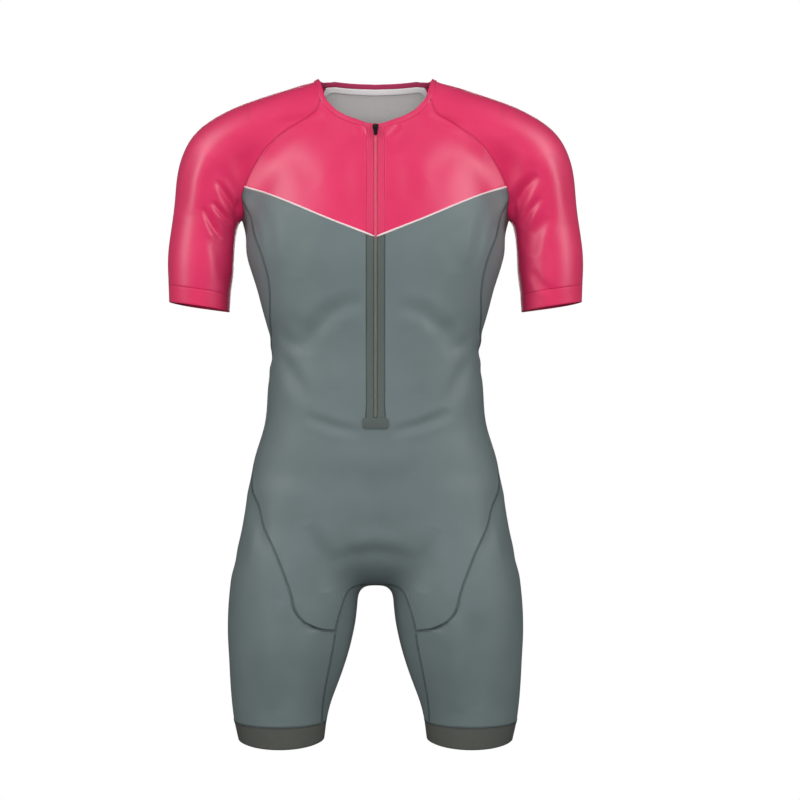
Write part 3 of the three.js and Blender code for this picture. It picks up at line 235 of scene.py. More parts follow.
def set_points(mesh, co):
    mesh.vertices.foreach_set("co", co.astype(np.float32).ravel())
    mesh.update()


def numbers_of(items, name):
    values = np.empty(len(items), int)
    items.foreach_get(name, values)
    return values


def new_object(name, data):
    piece = bpy.data.objects.new(name, data)
    bpy.context.scene.collection.objects.link(piece)
    return piece


# Colours and materials

def colour(code):
    """An sRGB hex colour as linear RGBA."""
    parts = [int(code[i:i + 2], 16) / 255 for i in (1, 3, 5)]
    linear = [c / 12.92 if c <= 0.04045 else ((c + 0.055) / 1.055) ** 2.4 for c in parts]
    return (*linear, 1.0)


def add(tree, kind, inputs=None, **settings):
    """Adds a node; an input is a value or a (node, output) pair."""
    node = tree.nodes.new(kind)
    for name, value in settings.items():
        setattr(node, name, value)
    for name, value in (inputs or {}).items():
        socket = node.inputs[name]
        if isinstance(value, tuple) and isinstance(value[0], bpy.types.Node):
            tree.links.new(value[0].outputs[value[1]], socket)
        else:
            socket.default_value = value
    return node


def new_material(name):
    material = bpy.data.materials.new(name)
    material.use_nodes = True
    material.node_tree.nodes.clear()
    return material, material.node_tree


def close_material(tree, shader):
    add(tree, "ShaderNodeOutputMaterial", {"Surface": (shader, "BSDF")})


def knit(name, face, shade, rough=0.55, gloss=0.4, sheen=0.12, seam_painted_shade=0.55, wale=1.5, course=1.1,
         depth=0.03, coat=0.0):
    """Warp-knit polyester elastane, dyed and heat set: fine upright wales, a soft satin light, and painted
    shade darkening the cloth toward each seam edge.
    """
    material, tree = new_material(name)
    uv = add(tree, "ShaderNodeUVMap", uv_map="thread")
    place = add(tree, "ShaderNodeTexCoord")
    cloud = add(tree, "ShaderNodeTexNoise", {"Vector": (place, "Object"), "Scale": CLOUD_SCALE,
                                             "Detail": 3.0})
    grain = add(tree, "ShaderNodeTexNoise", {"Vector": (place, "Object"), "Scale": YARN_SCALE,
                                             "Detail": 2.0})
    spread = add(tree, "ShaderNodeMix", {"Factor": YARN_SHARE, "A": (cloud, "Fac"), "B": (grain, "Fac")})
    tone = add(tree, "ShaderNodeMapRange", {"Value": (spread, "Result"), "From Min": DYE_RANGE[0],
                                            "From Max": DYE_RANGE[1]})
    dye = add(tree, "ShaderNodeMix", {"Factor": (tone, "Result"), "A": colour(shade), "B": colour(face)},
              data_type="RGBA")
    wales = add(tree, "ShaderNodeTexWave", {"Vector": (uv, "UV"), "Scale": 1000 / wale / WAVE_TURNS},
                bands_direction="X")
    courses = add(tree, "ShaderNodeTexWave", {"Vector": (uv, "UV"), "Scale": 1000 / course / WAVE_TURNS},
                  bands_direction="Y")
    loops = add(tree, "ShaderNodeMath", {0: (wales, "Fac"), 1: (courses, "Fac")}, operation="MULTIPLY")
    between = add(tree, "ShaderNodeMapRange", {"Value": (loops, "Value"), "To Min": LOOP_SHADE[0],
                                               "To Max": LOOP_SHADE[1]})
    # Painted shade: toward a seam edge the dye is darkened, standing in for the shade in the seam's groove
    seam = add(tree, "ShaderNodeAttribute", attribute_name="seam")
    groove = add(tree, "ShaderNodeMapRange", {"Value": (seam, "Fac"), "To Min": 1.0, "To Max": seam_painted_shade})
    shadow = add(tree, "ShaderNodeMath", {0: (between, "Result"), 1: (groove, "Result")},
                 operation="MULTIPLY")
    dye_with_painted_shade = add(tree, "ShaderNodeMix", {"Factor": 1.0, "A": (dye, "Result"), "B": (shadow, "Value")},
               data_type="RGBA", blend_type="MULTIPLY")
    raised = add(tree, "ShaderNodeBump", {"Height": (loops, "Value"), "Distance": depth * MM})
    shader = add(tree, "ShaderNodeBsdfPrincipled", {
        "Base Color": (dye_with_painted_shade, "Result"), "Normal": (raised, "Normal"), "Roughness": rough,
        "Specular IOR Level": gloss, "Coat Weight": coat, "Coat Roughness": COAT_ROUGH,
        "Sheen Weight": sheen, "Sheen Roughness": SHEEN_ROUGH, "Sheen Tint": SHEEN_TINT})
    close_material(tree, shader)
    return material


def plain(name, face, rough=0.6, metallic=0.0, grain_mm=0.6, depth=0.02, sheen=0.0, coat=0.0, uneven=0.8):
    """A finish with a fine grain of its own size: woven tape, moulded nylon, thread or lacquered zinc."""
    material, tree = new_material(name)
    place = add(tree, "ShaderNodeTexCoord")
    grain = add(tree, "ShaderNodeTexNoise", {"Vector": (place, "Object"), "Scale": 1000 / grain_mm / 2,
                                             "Detail": 2.0})
    base = colour(face)
    low = tuple(uneven * c for c in base[:3]) + (1.0,)
    tone = add(tree, "ShaderNodeMix", {"Factor": (grain, "Fac"), "A": low, "B": base}, data_type="RGBA")
    raised = add(tree, "ShaderNodeBump", {"Height": (grain, "Fac"), "Distance": depth * MM})
    shader = add(tree, "ShaderNodeBsdfPrincipled", {
        "Base Color": (tone, "Result"), "Normal": (raised, "Normal"), "Roughness": rough,
        "Metallic": metallic, "Sheen Weight": sheen, "Coat Weight": coat})
    close_material(tree, shader)
    return material


def ribbed(name, face, shade, rib=1.6, depth=0.2):
    """Woven elastic with upright ribs: dark lines between rounded cords, painted shade in the grooves, dull
    and a little rubbery.
    """
    material, tree = new_material(name)
    uv = add(tree, "ShaderNodeUVMap", uv_map="thread")
    place = add(tree, "ShaderNodeTexCoord")
    ribs = add(tree, "ShaderNodeTexWave", {"Vector": (uv, "UV"), "Scale": 1000 / rib / WAVE_TURNS},
               bands_direction="X")
    lint = add(tree, "ShaderNodeTexNoise", {"Vector": (place, "Object"), "Scale": LINT_SCALE,
                                            "Detail": 3.0})
    mixed = add(tree, "ShaderNodeMix", {"Factor": LINT_SHARE, "A": (ribs, "Fac"), "B": (lint, "Fac")})
    # Painted shade: the colour turns to the darker one between the ribs, with some lint noise mixed in
    tone = add(tree, "ShaderNodeMix", {"Factor": (mixed, "Result"), "A": colour(shade), "B": colour(face)},
               data_type="RGBA")
    raised = add(tree, "ShaderNodeBump", {"Height": (ribs, "Fac"), "Distance": depth * MM})
    shader = add(tree, "ShaderNodeBsdfPrincipled", {
        "Base Color": (tone, "Result"), "Normal": (raised, "Normal"), "Roughness": 0.75,
        "Specular IOR Level": 0.2})
    close_material(tree, shader)
    return material


# Dyed warp knit: bright raspberry with a satin light; the loops show as fine upright lines
PINK_KNIT = knit("pink_warp_knit", "#e82d66", "#df225d", rough=0.5, gloss=1.0, sheen=0.04, seam_painted_shade=0.78,
                 coat=0.4)
# The same knit pressed to a bonded hem: flatter and a little duller
CUFF_KNIT = knit("pink_bonded_hem", "#e83667", "#de2b5e", gloss=0.7, sheen=0.04, seam_painted_shade=0.78)
# Dyed warp knit in slate grey: the same loops with a soft, faintly cool light
GREY_KNIT = knit("slate_warp_knit", "#6f7c7d", "#687576", gloss=0.55, sheen=0.04)
# Woven gripper elastic: dark warm grey with upright ribs, and a darker grey painted as shade between them
GRIPPER = ribbed("woven_gripper_elastic", "#5f615b", "#4f514d")
# Turned-in side of the neck binding: the pink darkened, painted shade for the inside of the neck
BINDING_PAINTED_SHADE = plain("binding_reverse_painted_shade", "#b0345c", rough=0.75, grain_mm=1.0)
# Undyed reverse of the knit: off white and chalky
WHITE_INSIDE = plain("undyed_knit_reverse", "#c9c7c6", rough=0.85, grain_mm=1.0)
# Dyed reverse of the pink front yokes and sleeves: paler and duller than the face
PINK_INSIDE = plain("pink_knit_reverse", "#d2456e", rough=0.85, grain_mm=1.0)
# Dyed reverse of the slate knit: a shade darker and duller than its face
GREY_INSIDE = plain("slate_knit_reverse", "#616d6e", rough=0.85, grain_mm=1.0)
# Woven polyester tape over the back neck seam: flat, white, with a fine cross grain
WHITE_TAPE = plain("woven_neck_tape", "#e9e5e6", rough=0.7)
# Satin-covered cord let into the seam: bright white, with a slight warm pink tint painted as reflected
# light from the pink beside it
WHITE_PIPING = plain("satin_piping", "#e8d6d7", rough=0.45, sheen=0.2, uneven=0.92)
# Woven zip tapes dyed to the cloth beside them: denser and darker than the knit
PINK_TAPE = plain("pink_woven_zip_tape", "#d93a64", rough=0.65, grain_mm=0.8)
GREY_TAPE = plain("dark_woven_zip_tape", "#59625f", rough=0.7, grain_mm=0.8)
# Nylon monofilament coil: smooth, slightly see-through plastic that catches small lights
PINK_COIL = plain("pink_nylon_coil", "#ec6f88", rough=0.35, depth=0.005, uneven=0.9)
GREY_COIL = plain("taupe_nylon_coil", "#8a817b", rough=0.35, depth=0.005, uneven=0.9)
# Heat-bonded knit patch over the zip's end: flat and smooth
END_TAB = plain("bonded_end_patch", "#555d5b", rough=0.6, grain_mm=0.8)
# Die-cast zinc with dark lacquer: smooth, with small sharp lights
LACQUER = plain("lacquered_zinc", "#3a3f42", rough=0.3, metallic=0.8, depth=0.003)
# Textured polyester sewing thread, bulky and dull
PINK_THREAD = plain("pink_sewing_thread", "#d6305f", rough=0.7, grain_mm=0.4)
GREY_THREAD = plain("dark_grey_sewing_thread", "#434c4b", rough=0.7, grain_mm=0.4)


# Cloth shells

def merged_copy(node):
    bm = bmesh.new()
    bm.from_mesh(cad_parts[node].data)
    bmesh.ops.remove_doubles(bm, verts=bm.verts, dist=WELD)
    bm.normal_update()
    return bm


def lines_within(node):
    """The middle lines that a panel goes round."""
    if "yoke" in node:
        return [TRUNK_LINE, SHOULDER_LINE, mirrored_line(SHOULDER_LINE)]
    if "sleeve" in node:
        return [ARM_LINE, mirrored_line(ARM_LINE)]
    return [TRUNK_LINE, LEG_LINE, mirrored_line(LEG_LINE)]


def through_wall(bm, lines):
    """The edges that run through the thickness of a wall, from its outer to its inner face."""
    out = outward_of(np.array([v.co for v in bm.verts]) / MM, lines)
    found = []
    for edge in bm.edges:
        span = edge.verts[1].co - edge.verts[0].co
        if span.length < WALL_REACH:
            broad = [max(v.link_faces, key=lambda f: f.calc_area()).normal for v in edge.verts]
            ways = [*broad, Vector(out[edge.verts[0].index])]
            lean = max(abs(span.normalized().dot(way)) for way in ways)
            if lean > (WALL_LEAN if abs(span.length - WALL) < WALL_NEAR else ODD_WALL_LEAN):
                found.append(edge)
    return found


def smooth_islands(bm):
    """The faces that hang together without a sharp fold, group by group."""
    left = set(bm.faces)
    groups = []
    while left:
        edging = [left.pop()]
        group = []
        while edging:
            face = edging.pop()
            group.append(face)
            near = {f for e in face.edges if e.is_manifold and e.calc_face_angle() < SMOOTH_FOLD
                    for f in e.link_faces} & left
            left -= near
            edging.extend(near)
        groups.append(group)
    return groups


def looks_out(group, lines):
    """How much of a group of faces looks away from the middle lines, by area."""
    middles = np.array([f.calc_center_median() for f in group]) / MM
    normals = np.array([f.normal * f.calc_area() for f in group])
    return float((outward_of(middles, lines) * normals).sum())


def ease_slivers(bm):
    """Evens out the points round faces that are too small or too tilted to be smooth."""
    for _ in range(SLIVER_ROUNDS):
        bm.normal_update()
        rough = [v for v in bm.verts if not v.is_boundary and any(
            f.calc_area() < SLIVER or f.normal.dot(v.normal) < SLIVER_TILT for f in v.link_faces)]
        if not rough:
            break
        bmesh.ops.smooth_vert(bm, verts=rough, factor=SLIVER_MOVE,
                              use_axis_x=True, use_axis_y=True, use_axis_z=True)


def outer_skin(node):
    """The outer face of a wall of cloth, as quads."""
    bm = merged_copy(node)
    bm.verts.index_update()
    lines = lines_within(node)
    rim = {f for e in through_wall(bm, lines) for f in e.link_faces}
    bmesh.ops.delete(bm, geom=list(rim), context="FACES")
    faces = sorted(smooth_islands(bm), key=lambda group: looks_out(group, lines))
    bmesh.ops.delete(bm, geom=[f for group in faces[:-1] for f in group], context="FACES")
    ease_slivers(bm)
    bmesh.ops.join_triangles(bm, faces=bm.faces, angle_face_threshold=math.pi,
                             angle_shape_threshold=math.pi, topology_influence=1.0)
    return bm


def finish_object(name, bm):
    mesh = bpy.data.meshes.new(name)
    bm.to_mesh(mesh)
    bm.free()
    return new_object(name, mesh)


def evaluated_mesh(piece):
    return bpy.data.meshes.new_from_object(piece.evaluated_get(bpy.context.evaluated_depsgraph_get()))


def fine_sheet(name, bm, levels):
    """Smooth subdivided sheet through the given corner points."""
    piece = finish_object(name, bm)
    smooth = piece.modifiers.new("smooth", "SUBSURF")
    smooth.levels = smooth.render_levels = 1
    smooth.boundary_smooth = "PRESERVE_CORNERS"
    wanted = points_of(piece.data)
    for _ in range(FIT_ROUNDS):
        reached = points_of(evaluated_mesh(piece))[:len(wanted)]
        set_points(piece.data, points_of(piece.data) + wanted - reached)
    smooth.levels = smooth.render_levels = levels
    fine = evaluated_mesh(piece)
    piece.modifiers.clear()
    piece.data = fine
    return piece


# Creases: soft troughs in millimetres across and up, or across and back for those seen from above.
# A negative depth is a ridge. The ends fade bluntly, cloth that turns away has none, and a low lip
# lies along each side
CREASE_BLUNT = 0.6
CREASE_FACING = 2.5
LIP_RISE = 0.35
LIP_AT = 1.7
FRONT = (0, -1, 0)
BACK = (0, 1, 0)
LEFT = (1, 0, 0)
RIGHT = (-1, 0, 0)
ABOVE = (0, 0, 1)
ACROSS = {FRONT: (0, 2), BACK: (0, 2), LEFT: (1, 2), RIGHT: (1, 2), ABOVE: (0, 1)}
CREASES = [
    # right sleeve beside the armpit: a fan of three sharp pulls, a softer one and a ridge
    {"seen": FRONT, "line": [(-217, -130), (-204, -151), (-192, -168)], "deep": 3.2, "wide": 4.5},
    {"seen": FRONT, "line": [(-223, -158), (-211, -173), (-199, -186)], "deep": 3.8, "wide": 4.0},
    {"seen": FRONT, "line": [(-236, -166), (-224, -191), (-212, -210)], "deep": 3.5, "wide": 4.5},
    {"seen": FRONT, "line": [(-222, -204), (-212, -236), (-208, -270)], "deep": 2.7, "wide": 9.0},
    {"seen": FRONT, "line": [(-232, -88), (-246, -132), (-252, -176)], "deep": -1.9, "wide": 12.0},
    # left sleeve beside the armpit: softer pulls and a ridge
    {"seen": FRONT, "line": [(222, -122), (204, -140), (192, -161)], "deep": 4.0, "wide": 7.0},
    {"seen": FRONT, "line": [(226, -152), (212, -170), (202, -192)], "deep": 2.9, "wide": 5.0},
    {"seen": FRONT, "line": [(236, -178), (222, -202), (214, -232)], "deep": 2.6, "wide": 8.0},
    {"seen": FRONT, "line": [(214, -250), (226, -270), (244, -284)], "deep": 1.7, "wide": 6.0},
    {"seen": FRONT, "line": [(238, -96), (250, -140), (255, -190)], "deep": -1.7, "wide": 12.0},
    # shoulder tops: shallow dips from the neck outward
    {"seen": FRONT, "line": [(76, -34), (94, -46), (114, -55), (128, -62)], "deep": 2.9, "wide": 7.0},
    {"seen": FRONT, "line": [(-72, -38), (-96, -46), (-118, -50), (-140, -58)], "deep": 2.6, "wide": 8.0},
    {"seen": ABOVE, "line": [(70, -4), (104, -10), (140, -14)], "deep": 2.7, "wide": 10.0},
    {"seen": ABOVE, "line": [(-66, -2), (-100, -12), (-136, -8)], "deep": 2.3, "wide": 11.0},
    # neck edge beside the zip
    {"seen": FRONT, "line": [(-24, -56), (-17, -63), (-13, -71)], "deep": 1.7, "wide": 3.5},
    {"seen": FRONT, "line": [(34, -54), (24, -64), (16, -72)], "deep": 1.9, "wide": 3.5},
    # yoke: slack across the breast
    {"seen": FRONT, "line": [(-150, -84), (-112, -104), (-80, -142)], "deep": 1.9, "wide": 16.0},
    {"seen": FRONT, "line": [(146, -92), (104, -100), (70, -132)], "deep": 1.7, "wide": 15.0},
    {"seen": FRONT, "line": [(-36, -92), (-44, -130), (-38, -176)], "deep": 1.5, "wide": 14.0},
    {"seen": FRONT, "line": [(34, -96), (46, -126), (42, -162)], "deep": 1.5, "wide": 13.0},
    # side of the chest below the armpits
    {"seen": FRONT, "line": [(-158, -168), (-146, -200), (-143, -246)], "deep": 3.5, "wide": 8.0},
    {"seen": FRONT, "line": [(154, -170), (143, -204), (136, -250)], "deep": 3.5, "wide": 8.0},
    {"seen": FRONT, "line": [(-120, -180), (-104, -214), (-112, -262)], "deep": 1.7, "wide": 15.0},
    {"seen": FRONT, "line": [(116, -184), (100, -220), (108, -258)], "deep": 1.7, "wide": 14.0},
    # arcs of the lower ribs either side of the zip
    {"seen": FRONT, "line": [(-16, -297), (-42, -303), (-66, -315), (-84, -337), (-98, -368)],
     "deep": 3.0, "wide": 11.0},
    {"seen": FRONT, "line": [(30, -302), (66, -313), (92, -334), (110, -366)], "deep": 3.0, "wide": 11.0},
    {"seen": FRONT, "line": [(-52, -330), (-62, -372), (-56, -416)], "deep": -1.7, "wide": 18.0},
    {"seen": FRONT, "line": [(54, -334), (66, -370), (58, -420)], "deep": -1.7, "wide": 17.0},
    # pinches at the waist
    {"seen": FRONT, "line": [(-140, -334), (-121, -350), (-98, -360)], "deep": 2.3, "wide": 10.0},
    {"seen": FRONT, "line": [(-139, -358), (-116, -392), (-90, -432)], "deep": 2.3, "wide": 11.0},
    {"seen": FRONT, "line": [(140, -338), (122, -354), (102, -366)], "deep": 2.2, "wide": 10.0},
    {"seen": FRONT, "line": [(138, -360), (118, -394), (95, -438)], "deep": 2.2, "wide": 11.0},
    # belly: a smile-shaped slack below the zip
    {"seen": FRONT, "line": [(-96, -452), (-56, -466), (-20, -474)], "deep": 2.1, "wide": 7.0},
    {"seen": FRONT, "line": [(20, -474), (60, -464), (104, -446)], "deep": 2.5, "wide": 7.0},
    {"seen": FRONT, "line": [(-58, -505), (0, -514), (62, -503)], "deep": -1.5, "wide": 18.0},
    # hip lines and the turn under the body
    {"seen": FRONT, "line": [(-166, -560), (-160, -596), (-150, -640)], "deep": 1.3, "wide": 9.0},
    {"seen": FRONT, "line": [(165, -556), (158, -600), (148, -650)], "deep": 1.2, "wide": 9.0},
    {"seen": FRONT, "line": [(-64, -650), (-36, -640), (0, -637), (36, -641), (54, -650)],
     "deep": 1.5, "wide": 9.0},
    {"seen": FRONT, "line": [(-40, -622), (0, -614), (38, -622)], "deep": -1.0, "wide": 10.0},
    {"seen": FRONT, "line": [(-92, -600), (-72, -640), (-66, -690)], "deep": 2.5, "wide": 12.0},
    {"seen": FRONT, "line": [(84, -604), (70, -642), (62, -690)], "deep": 2.1, "wide": 12.0},
    # thighs: long soft slack from hip to band
    {"seen": FRONT, "line": [(-132, -700), (-142, -770), (-146, -850)], "deep": -1.9, "wide": 16.0},
    {"seen": FRONT, "line": [(-112, -706), (-116, -780), (-122, -858)], "deep": 1.5, "wide": 14.0},
    {"seen": FRONT, "line": [(108, -724), (110, -790), (114, -856)], "deep": -1.9, "wide": 14.0},
    {"seen": FRONT, "line": [(134, -716), (138, -790), (142, -852)], "deep": 1.5, "wide": 14.0},
    # back: shoulder blades, small of the back and seat, as the cloth would lie there
    {"seen": BACK, "line": [(-192, -140), (-204, -158), (-216, -170)], "deep": 3.0, "wide": 5.0},
    {"seen": BACK, "line": [(192, -134), (206, -152), (220, -161)], "deep": 3.5, "wide": 5.5},
    {"seen": BACK, "line": [(196, -168), (210, -186), (222, -197)], "deep": 2.9, "wide": 5.0},
    {"seen": BACK, "line": [(-198, -176), (-210, -197), (-223, -211)], "deep": 3.0, "wide": 5.5},
    {"seen": BACK, "line": [(-150, -150), (-110, -188), (-66, -206)], "deep": 2.3, "wide": 13.0},
    {"seen": BACK, "line": [(152, -156), (106, -196), (58, -210)], "deep": 2.5, "wide": 12.0},
    {"seen": BACK, "line": [(-136, -318), (-92, -344), (-34, -352)], "deep": 3.0, "wide": 9.0},
    {"seen": BACK, "line": [(138, -328), (88, -356), (22, -366)], "deep": 2.9, "wide": 8.0},
    {"seen": BACK, "line": [(-138, -360), (-84, -392), (-20, -398)], "deep": 2.4, "wide": 9.0},
    {"seen": BACK, "line": [(140, -372), (96, -402), (40, -412)], "deep": 2.6, "wide": 9.5},
    {"seen": BACK, "line": [(-88, -424), (-30, -432), (30, -430)], "deep": 1.9, "wide": 8.0},
    {"seen": BACK, "line": [(0, -520), (2, -570), (0, -630)], "deep": 3.5, "wide": 12.0},
    {"seen": BACK, "line": [(-28, -664), (-74, -676), (-128, -668)], "deep": 3.2, "wide": 8.0},
    {"seen": BACK, "line": [(26, -662), (80, -678), (126, -672)], "deep": 3.4, "wide": 8.0},
    {"seen": BACK, "line": [(-102, -700), (-116, -780), (-124, -850)], "deep": -1.7, "wide": 16.0},
    {"seen": BACK, "line": [(112, -702), (122, -776), (130, -846)], "deep": -1.7, "wide": 15.0},
    # sides: waist pinches and the turn of the hip
    {"seen": LEFT, "line": [(-52, -346), (-8, -356), (42, -350)], "deep": 1.6, "wide": 9.0},
    {"seen": LEFT, "line": [(-40, -376), (4, -388), (50, -380)], "deep": 1.2, "wide": 8.0},
    {"seen": RIGHT, "line": [(-50, -342), (-6, -350), (46, -348)], "deep": 1.7, "wide": 9.0},
    {"seen": RIGHT, "line": [(-36, -372), (10, -380), (44, -372)], "deep": 1.4, "wide": 8.0},
    {"seen": LEFT, "line": [(-60, -632), (-16, -652), (40, -660)], "deep": 1.1, "wide": 13.0},
    {"seen": RIGHT, "line": [(-58, -640), (-10, -656), (44, -654)], "deep": 1.1, "wide": 13.0},
    {"seen": LEFT, "line": [(-14, -120), (-18, -190), (-10, -262)], "deep": -0.8, "wide": 13.0},
    {"seen": RIGHT, "line": [(-12, -116), (-16, -186), (-8, -258)], "deep": -0.8, "wide": 13.0},
]


def crease_depth(points, normals):
    """How far the cloth sinks at each point, in millimetres."""
    depth = np.zeros(len(points))
    for crease in CREASES:
        first, second = ACROSS[crease["seen"]]
        flat = np.column_stack([points[:, first], np.zeros(len(points)), points[:, second]])
        line = [(a, 0, b) for a, b in crease["line"]]
        _, away, along = nearest_on_line(flat, line)
        length = sum(math.dist(a, b) for a, b in zip(line[:-1], line[1:]))
        ends = np.sin(np.pi * np.clip(along / length, 0, 1)) ** CREASE_BLUNT
        facing = np.clip(normals @ np.array(crease["seen"], float) * CREASE_FACING, 0, 1)
        off = away / crease["wide"]
        bowl = np.exp(-off ** 2) - LIP_RISE * np.exp(-((off - LIP_AT) ** 2))
        depth += crease["deep"] * ends * facing * bowl
    return depth


def lift_neck(co):
    """Raises the back of the neck, fading out toward the neck's corners and down the back."""
    x, y, z = (co / MM).T
    share = np.clip((NECK_HALF - np.abs(x)) / NECK_FADE, 0, 1)
    share *= np.clip((y - NECK_BACK) / NECK_BACK_FADE, 0, 1)
    share *= np.clip((z - NECK_LOW) / NECK_LOW_FADE, 0, 1)
    lift = share**2 * (3 - 2 * share) * NECK_LIFT
    return co + np.column_stack([0 * lift, 0 * lift, lift])


def press_creases(piece):
    co = points_of(piece.data)
    out = outward_of(co / MM)
    set_points(piece.data, lift_neck(co - out * (crease_depth(co / MM, out) * MM)[:, None]))


def ways_out(rim):
    """The way out of the cloth at each point of its open edges."""
    out = {v: Vector() for e in rim for v in e.verts}
    for edge in rim:
        face = edge.link_faces[0]
        middle = (edge.verts[0].co + edge.verts[1].co) / 2
        away = (edge.verts[1].co - edge.verts[0].co).normalized().cross(face.normal)
        if away.dot(middle - face.calc_center_median()) < 0:
            away.negate()
        for vert in edge.verts:
            out[vert] += away
    return {vert: away.normalized() for vert, away in out.items()}


def rim_rows(rim):
    """The open edges one after another, as closed rows of points."""
    used = set()
    rows = []
    for first in rim:
        if first in used:
            continue
        used.add(first)
        row = list(first.verts)
        while True:
            step = next((e for e in row[-1].link_edges if e.is_boundary and e not in used), None)
            if step is None:
                break
            used.add(step)
            row.append(step.other_vert(row[-1]))
        rows.append(row)
    return rows


def sink_edges(piece):
    """Lowers the edges of a sheet a little into their seams, and returns the edges as they were."""
    bm = bmesh.new()
    bm.from_mesh(piece.data)
    bm.normal_update()
    rim = [e for e in bm.edges if e.is_boundary]
    out = ways_out(rim)
    normal = {v: v.normal.copy() for v in out}
    rows = [{"at": np.array([v.co for v in row]), "up": np.array([normal[v] for v in row]),
             "out": np.array([out[v] for v in row])} for row in rim_rows(rim)]
    moved = {tuple(v.co): out[v] * SEAM_CLOSE - normal[v] * SEAM_SINK for v in out}
    bmesh.ops.inset_region(bm, faces=bm.faces, thickness=SEAM_RING, use_boundary=True, use_even_offset=True)
    # The seam attribute marks the sheet's edges, where the knit's painted seam shade falls
    seam = bm.verts.layers.float.new("seam")
    for vert in bm.verts:
        if vert.is_boundary:
            vert[seam] = 1.0
            vert.co += moved[tuple(vert.co)]
    bm.to_mesh(piece.data)
    bm.free()
    return rows


# Where the thread runs on each kind of piece, in metres along the cloth
def thread_places(points, kind):
    """Turn round the middle line, its usual reach, and the place along the line."""
    off = points
    along = points[:, 2]
    if kind != "trunk":
        side = np.where(points[:, 0] < 0, -1.0, 1.0)
        ones = np.ones(len(points))
        folded = points * np.column_stack([side, ones, ones])
        place, _, run = nearest_on_line(folded / MM, ARM_LINE if kind == "arm" else LEG_LINE)
        off = folded - place * MM
    across = off[:, 0]
    if kind == "arm":
        across = np.where(off[:, 0] + off[:, 2] > 0, 1.0, -1.0) * np.hypot(off[:, 0], off[:, 2])
        along = -run * MM
    return np.arctan2(across, -off[:, 1]), THREAD_REACH[kind], along


def lay_thread(mesh, kind):
    """Stores the thread's course as the UV map of a piece, without a jump where the turn starts again."""
    turn, reach, along = thread_places(points_of(mesh), kind)
    corners = numbers_of(mesh.loops, "vertex_index")
    starts = numbers_of(mesh.polygons, "loop_start")
    sizes = numbers_of(mesh.polygons, "loop_total")
    first = np.repeat(turn[corners[starts]], sizes)
    t = turn[corners]
    t = t - 2 * np.pi * np.round((t - first) / (2 * np.pi))
    uv = np.column_stack([t * reach, along[corners]])
    layer = mesh.uv_layers.get("thread") or mesh.uv_layers.new(name="thread")
    layer.data.foreach_set("uv", uv.astype(np.float32).ravel())


# By node: the edges of a sheet as they were cut, the sheet, and its course, faces and slot
EDGE_ROWS = {}
SHEETS = {}
FINISHES = {}


def cloth(node, *finish, levels=3, inside=WHITE_INSIDE):
    """One cut panel on its solid's form; its finish comes once the seams are closed."""
    piece = fine_sheet(f"{node}_cloth", outer_skin(node), levels)
    unfold(piece.data)
    press_creases(piece)
    SHEETS[node] = piece
    FINISHES[node] = (*finish, inside)


def edge_places(mesh):
    """The points along the open edges of a sheet, row by row, as their numbers."""
    bm = bmesh.new()
    bm.from_mesh(mesh)
    rows = [[v.index for v in row] for row in rim_rows([e for e in bm.edges if e.is_boundary])]
    bm.free()
    return rows


def unfold(mesh):
    """Evens out the few small faces that turn over, beside seams that curve sharply."""
    bm = bmesh.new()
    bm.from_mesh(mesh)
    for _ in range(UNFOLD_ROUNDS):
        bm.normal_update()
        folded = {v for f in bm.faces if any(f.normal.dot(v.normal) < FOLDED for v in f.verts)
                  for v in f.verts}
        if not folded:
            break
        moved = {}
        for vert in folded:
            edges = [e for e in vert.link_edges if e.is_boundary or not vert.is_boundary]
            near = [e.other_vert(vert).co for e in edges]
            moved[vert] = vert.co * (1 - UNFOLD_MOVE) + sum(near, Vector()) / len(near) * UNFOLD_MOVE
        for vert, place in moved.items():
            vert.co = place
    bm.to_mesh(mesh)
    bm.free()


def close_seams():
    """Draws the edges of neighbouring sheets together, each halfway."""
    places = {node: points_of(piece.data) for node, piece in SHEETS.items()}
    rows = {node: edge_places(piece.data) for node, piece in SHEETS.items()}
    trees = {node: edge_tree([co[row] for row in rows[node]]) for node, co in places.items()}
    for node, piece in SHEETS.items():
        co = places[node].copy()
        for i in {i for row in rows[node] for i in row}:
            near = min((tree.find(places[node][i]) for other, tree in trees.items() if other != node),
                       key=lambda found: found[2])
            if near[2] < SEAM_DRAW:
                co[i] = (co[i] + np.array(near[0])) / 2
        set_points(piece.data, co)
        unfold(piece.data)


def finish_cloth(node):
    """The panel as a thin shell with its edges let into the seams."""
    piece = SHEETS[node]
    kind, face, slot, inside = FINISHES[node]
    EDGE_ROWS[node] = sink_edges(piece)
    lay_thread(piece.data, kind)
    piece.data.materials.append(face)
    piece.data.materials.append(inside)
    piece.data.shade_smooth()
    wall = piece.modifiers.new("wall", "SOLIDIFY")
    wall.thickness = KNIT_THICK
    wall.offset = -1.0
    wall.use_rim = True
    wall.material_offset = 1
    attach(piece, SUIT)
    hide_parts(node)


def cloth_pair(node, *rest, **more):
    for side in ("left", "right"):
        cloth(f"{node}_{side}", *rest, **more)


def trim(node, bm, faces):
    """A trim piece in place of its solid."""
    bmesh.ops.recalc_face_normals(bm, faces=bm.faces)
    piece = finish_object(f"{node}_trim", bm)
    return dress(node, piece, faces)


def dress(node, piece, faces):
    lay_thread(piece.data, "trunk")
    for face in faces:
        piece.data.materials.append(face)
    piece.data.shade_smooth()
    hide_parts(node)
    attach(piece, PULL if node == "zip_pull" else SUIT)
    return piece


def soften(bm, edges, radius, segments):
    bmesh.ops.bevel(bm, geom=edges, offset=radius * MM, segments=segments, affect="EDGES", profile=0.5,
                    material=-1, clamp_overlap=True)


